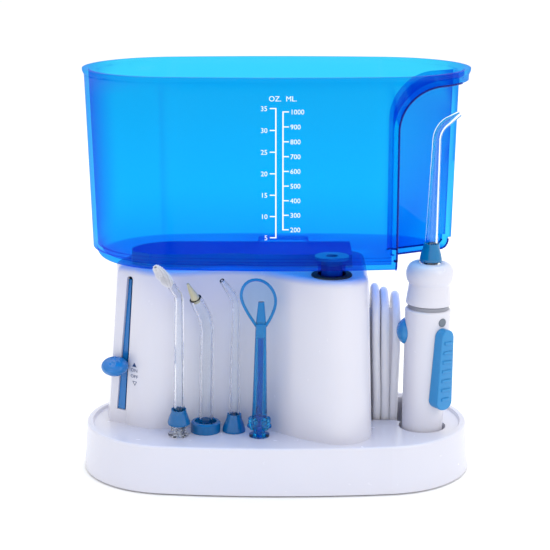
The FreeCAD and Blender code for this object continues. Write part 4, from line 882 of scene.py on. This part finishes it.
PLACES = [(0.0, 64.5), (0.13, 63.9), (0.37, 63.2), (0.63, 62.9), (0.87, 62.5), (1.13, 58.6), (1.37, 57.9),
          (1.63, 57.8), (1.87, 57.8), (2.13, 59.0), (2.37, 57.75), (2.63, 57.8), (2.87, 60.2), (3.13, 63.8),
          (3.37, 63.0), (3.63, 63.3), (3.87, 65.05), (4.13, 68.6), (4.37, 69.8), (4.63, 69.8), (4.87, 69.8),
          (5.0, 69.0)]
LAYERS = [(0.0, 12.6), (1.84, 12.6), (2.2, 18.0), (5.0, 18.0)]
DROPS = [(0.0, 0.0), (2.6, 0.3), (3.4, 2.6), (3.6, 2.6), (4.4, 5.0), (5.0, 5.0)]
route = [Vector((64.5, 22.3, 30.0)), Vector((64.5, 22.3, 26.5)), Vector((64.5, 21.6, 22.0)),
         Vector((64.5, 18.6, 17.9))]
STEPS = 32
for k in range(1, 5 * STEPS + 1):
    turn = k / STEPS
    route.append(winding(turn, between(LAYERS, turn), between(PLACES, turn), between(DROPS, turn)))
route += [Vector(p) for p in ((69.0, 16.0, 9.75), (69.2, 8.0, 9.85), (69.9, 0.5, 9.9), (71.4, -5.6, 9.9),
                              (74.6, -10.0, 9.9), (79.0, -11.3, 10.4), (82.6, -10.3, 13.4), (84.1, -9.2, 18.4),
                              (84.4, -9.0, 26.3))]
hose_data = bpy.data.curves.new("hose", "CURVE")
hose_data.dimensions = "3D"
spline = hose_data.splines.new("NURBS")
spline.points.add(len(route) - 1)
for point, where in zip(spline.points, route):
    point.co = (*(where * MM), 1.0)
spline.order_u, spline.use_endpoint_u = 4, True
spline.resolution_u = 4
hose_data.bevel_depth, hose_data.bevel_resolution, hose_data.use_fill_caps = HOSE_D / 2, 5, True
hose = bpy.data.objects.new("hose", hose_data)
bpy.context.scene.collection.objects.link(hose)
soft_pvc = moulded("soft_white_pvc", "#F2F2F7", 0.35, grain_mm=0.6, grain=0.06)
hose_data.materials.append(soft_pvc)
for name in ("hose_coil", "hose_lead", "hose_tail"):
    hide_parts(name)
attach(hose, "base")

# %% [markdown]
# ## Floor and light
# Shop pictures use a white floor and soft boxes. A bright white room gives most of the light here; a large lamp
# above keeps the deck lightest, and a key lamp on the right leaves the left walls a shade darker. A floor of
# plain matt white is enough, because it only has to take soft shadows.

# %% Stage
FLOOR_SIZE = 14.0
bpy.ops.mesh.primitive_plane_add(size=1.0)
floor = bpy.context.object
floor.name = "floor"
floor.data.transform(Matrix.Translation((0, 3.0, -0.0002)) @ Matrix.Diagonal((FLOOR_SIZE, FLOOR_SIZE, 1, 1)))
floor.data.materials.append(moulded("pale_floor", "#FFFFFF", 0.7, ripple=0.0, tint=0.0))
world = bpy.data.worlds.new("soft_white_room")
world.use_nodes = True
sky = world.node_tree.nodes["Background"]
sky.inputs["Color"].default_value, sky.inputs["Strength"].default_value = (0.985, 0.99, 1.0, 1.0), 1.03
bpy.context.scene.world = world
bpy.context.scene.view_settings.view_transform = "Standard"
for name, spot, size, power in (("key", (1.3, -1.1, 1.3), 0.8, 6), ("fill", (-1.3, -1.2, 1.0), 0.7, 0.6),
                                ("top", (0.1, 0.3, 1.6), 1.4, 10)):
    lamp = bpy.data.lights.new(name + "_softbox", "AREA")
    lamp.shape, lamp.size, lamp.energy = "SQUARE", size, power
    holder = bpy.data.objects.new(name + "_softbox", lamp)
    holder.location = spot
    holder.rotation_euler = (Vector((0, 0, 0.1)) - Vector(spot)).to_track_quat("-Z", "Y").to_euler()
    bpy.context.scene.collection.objects.link(holder)
print("stage set")
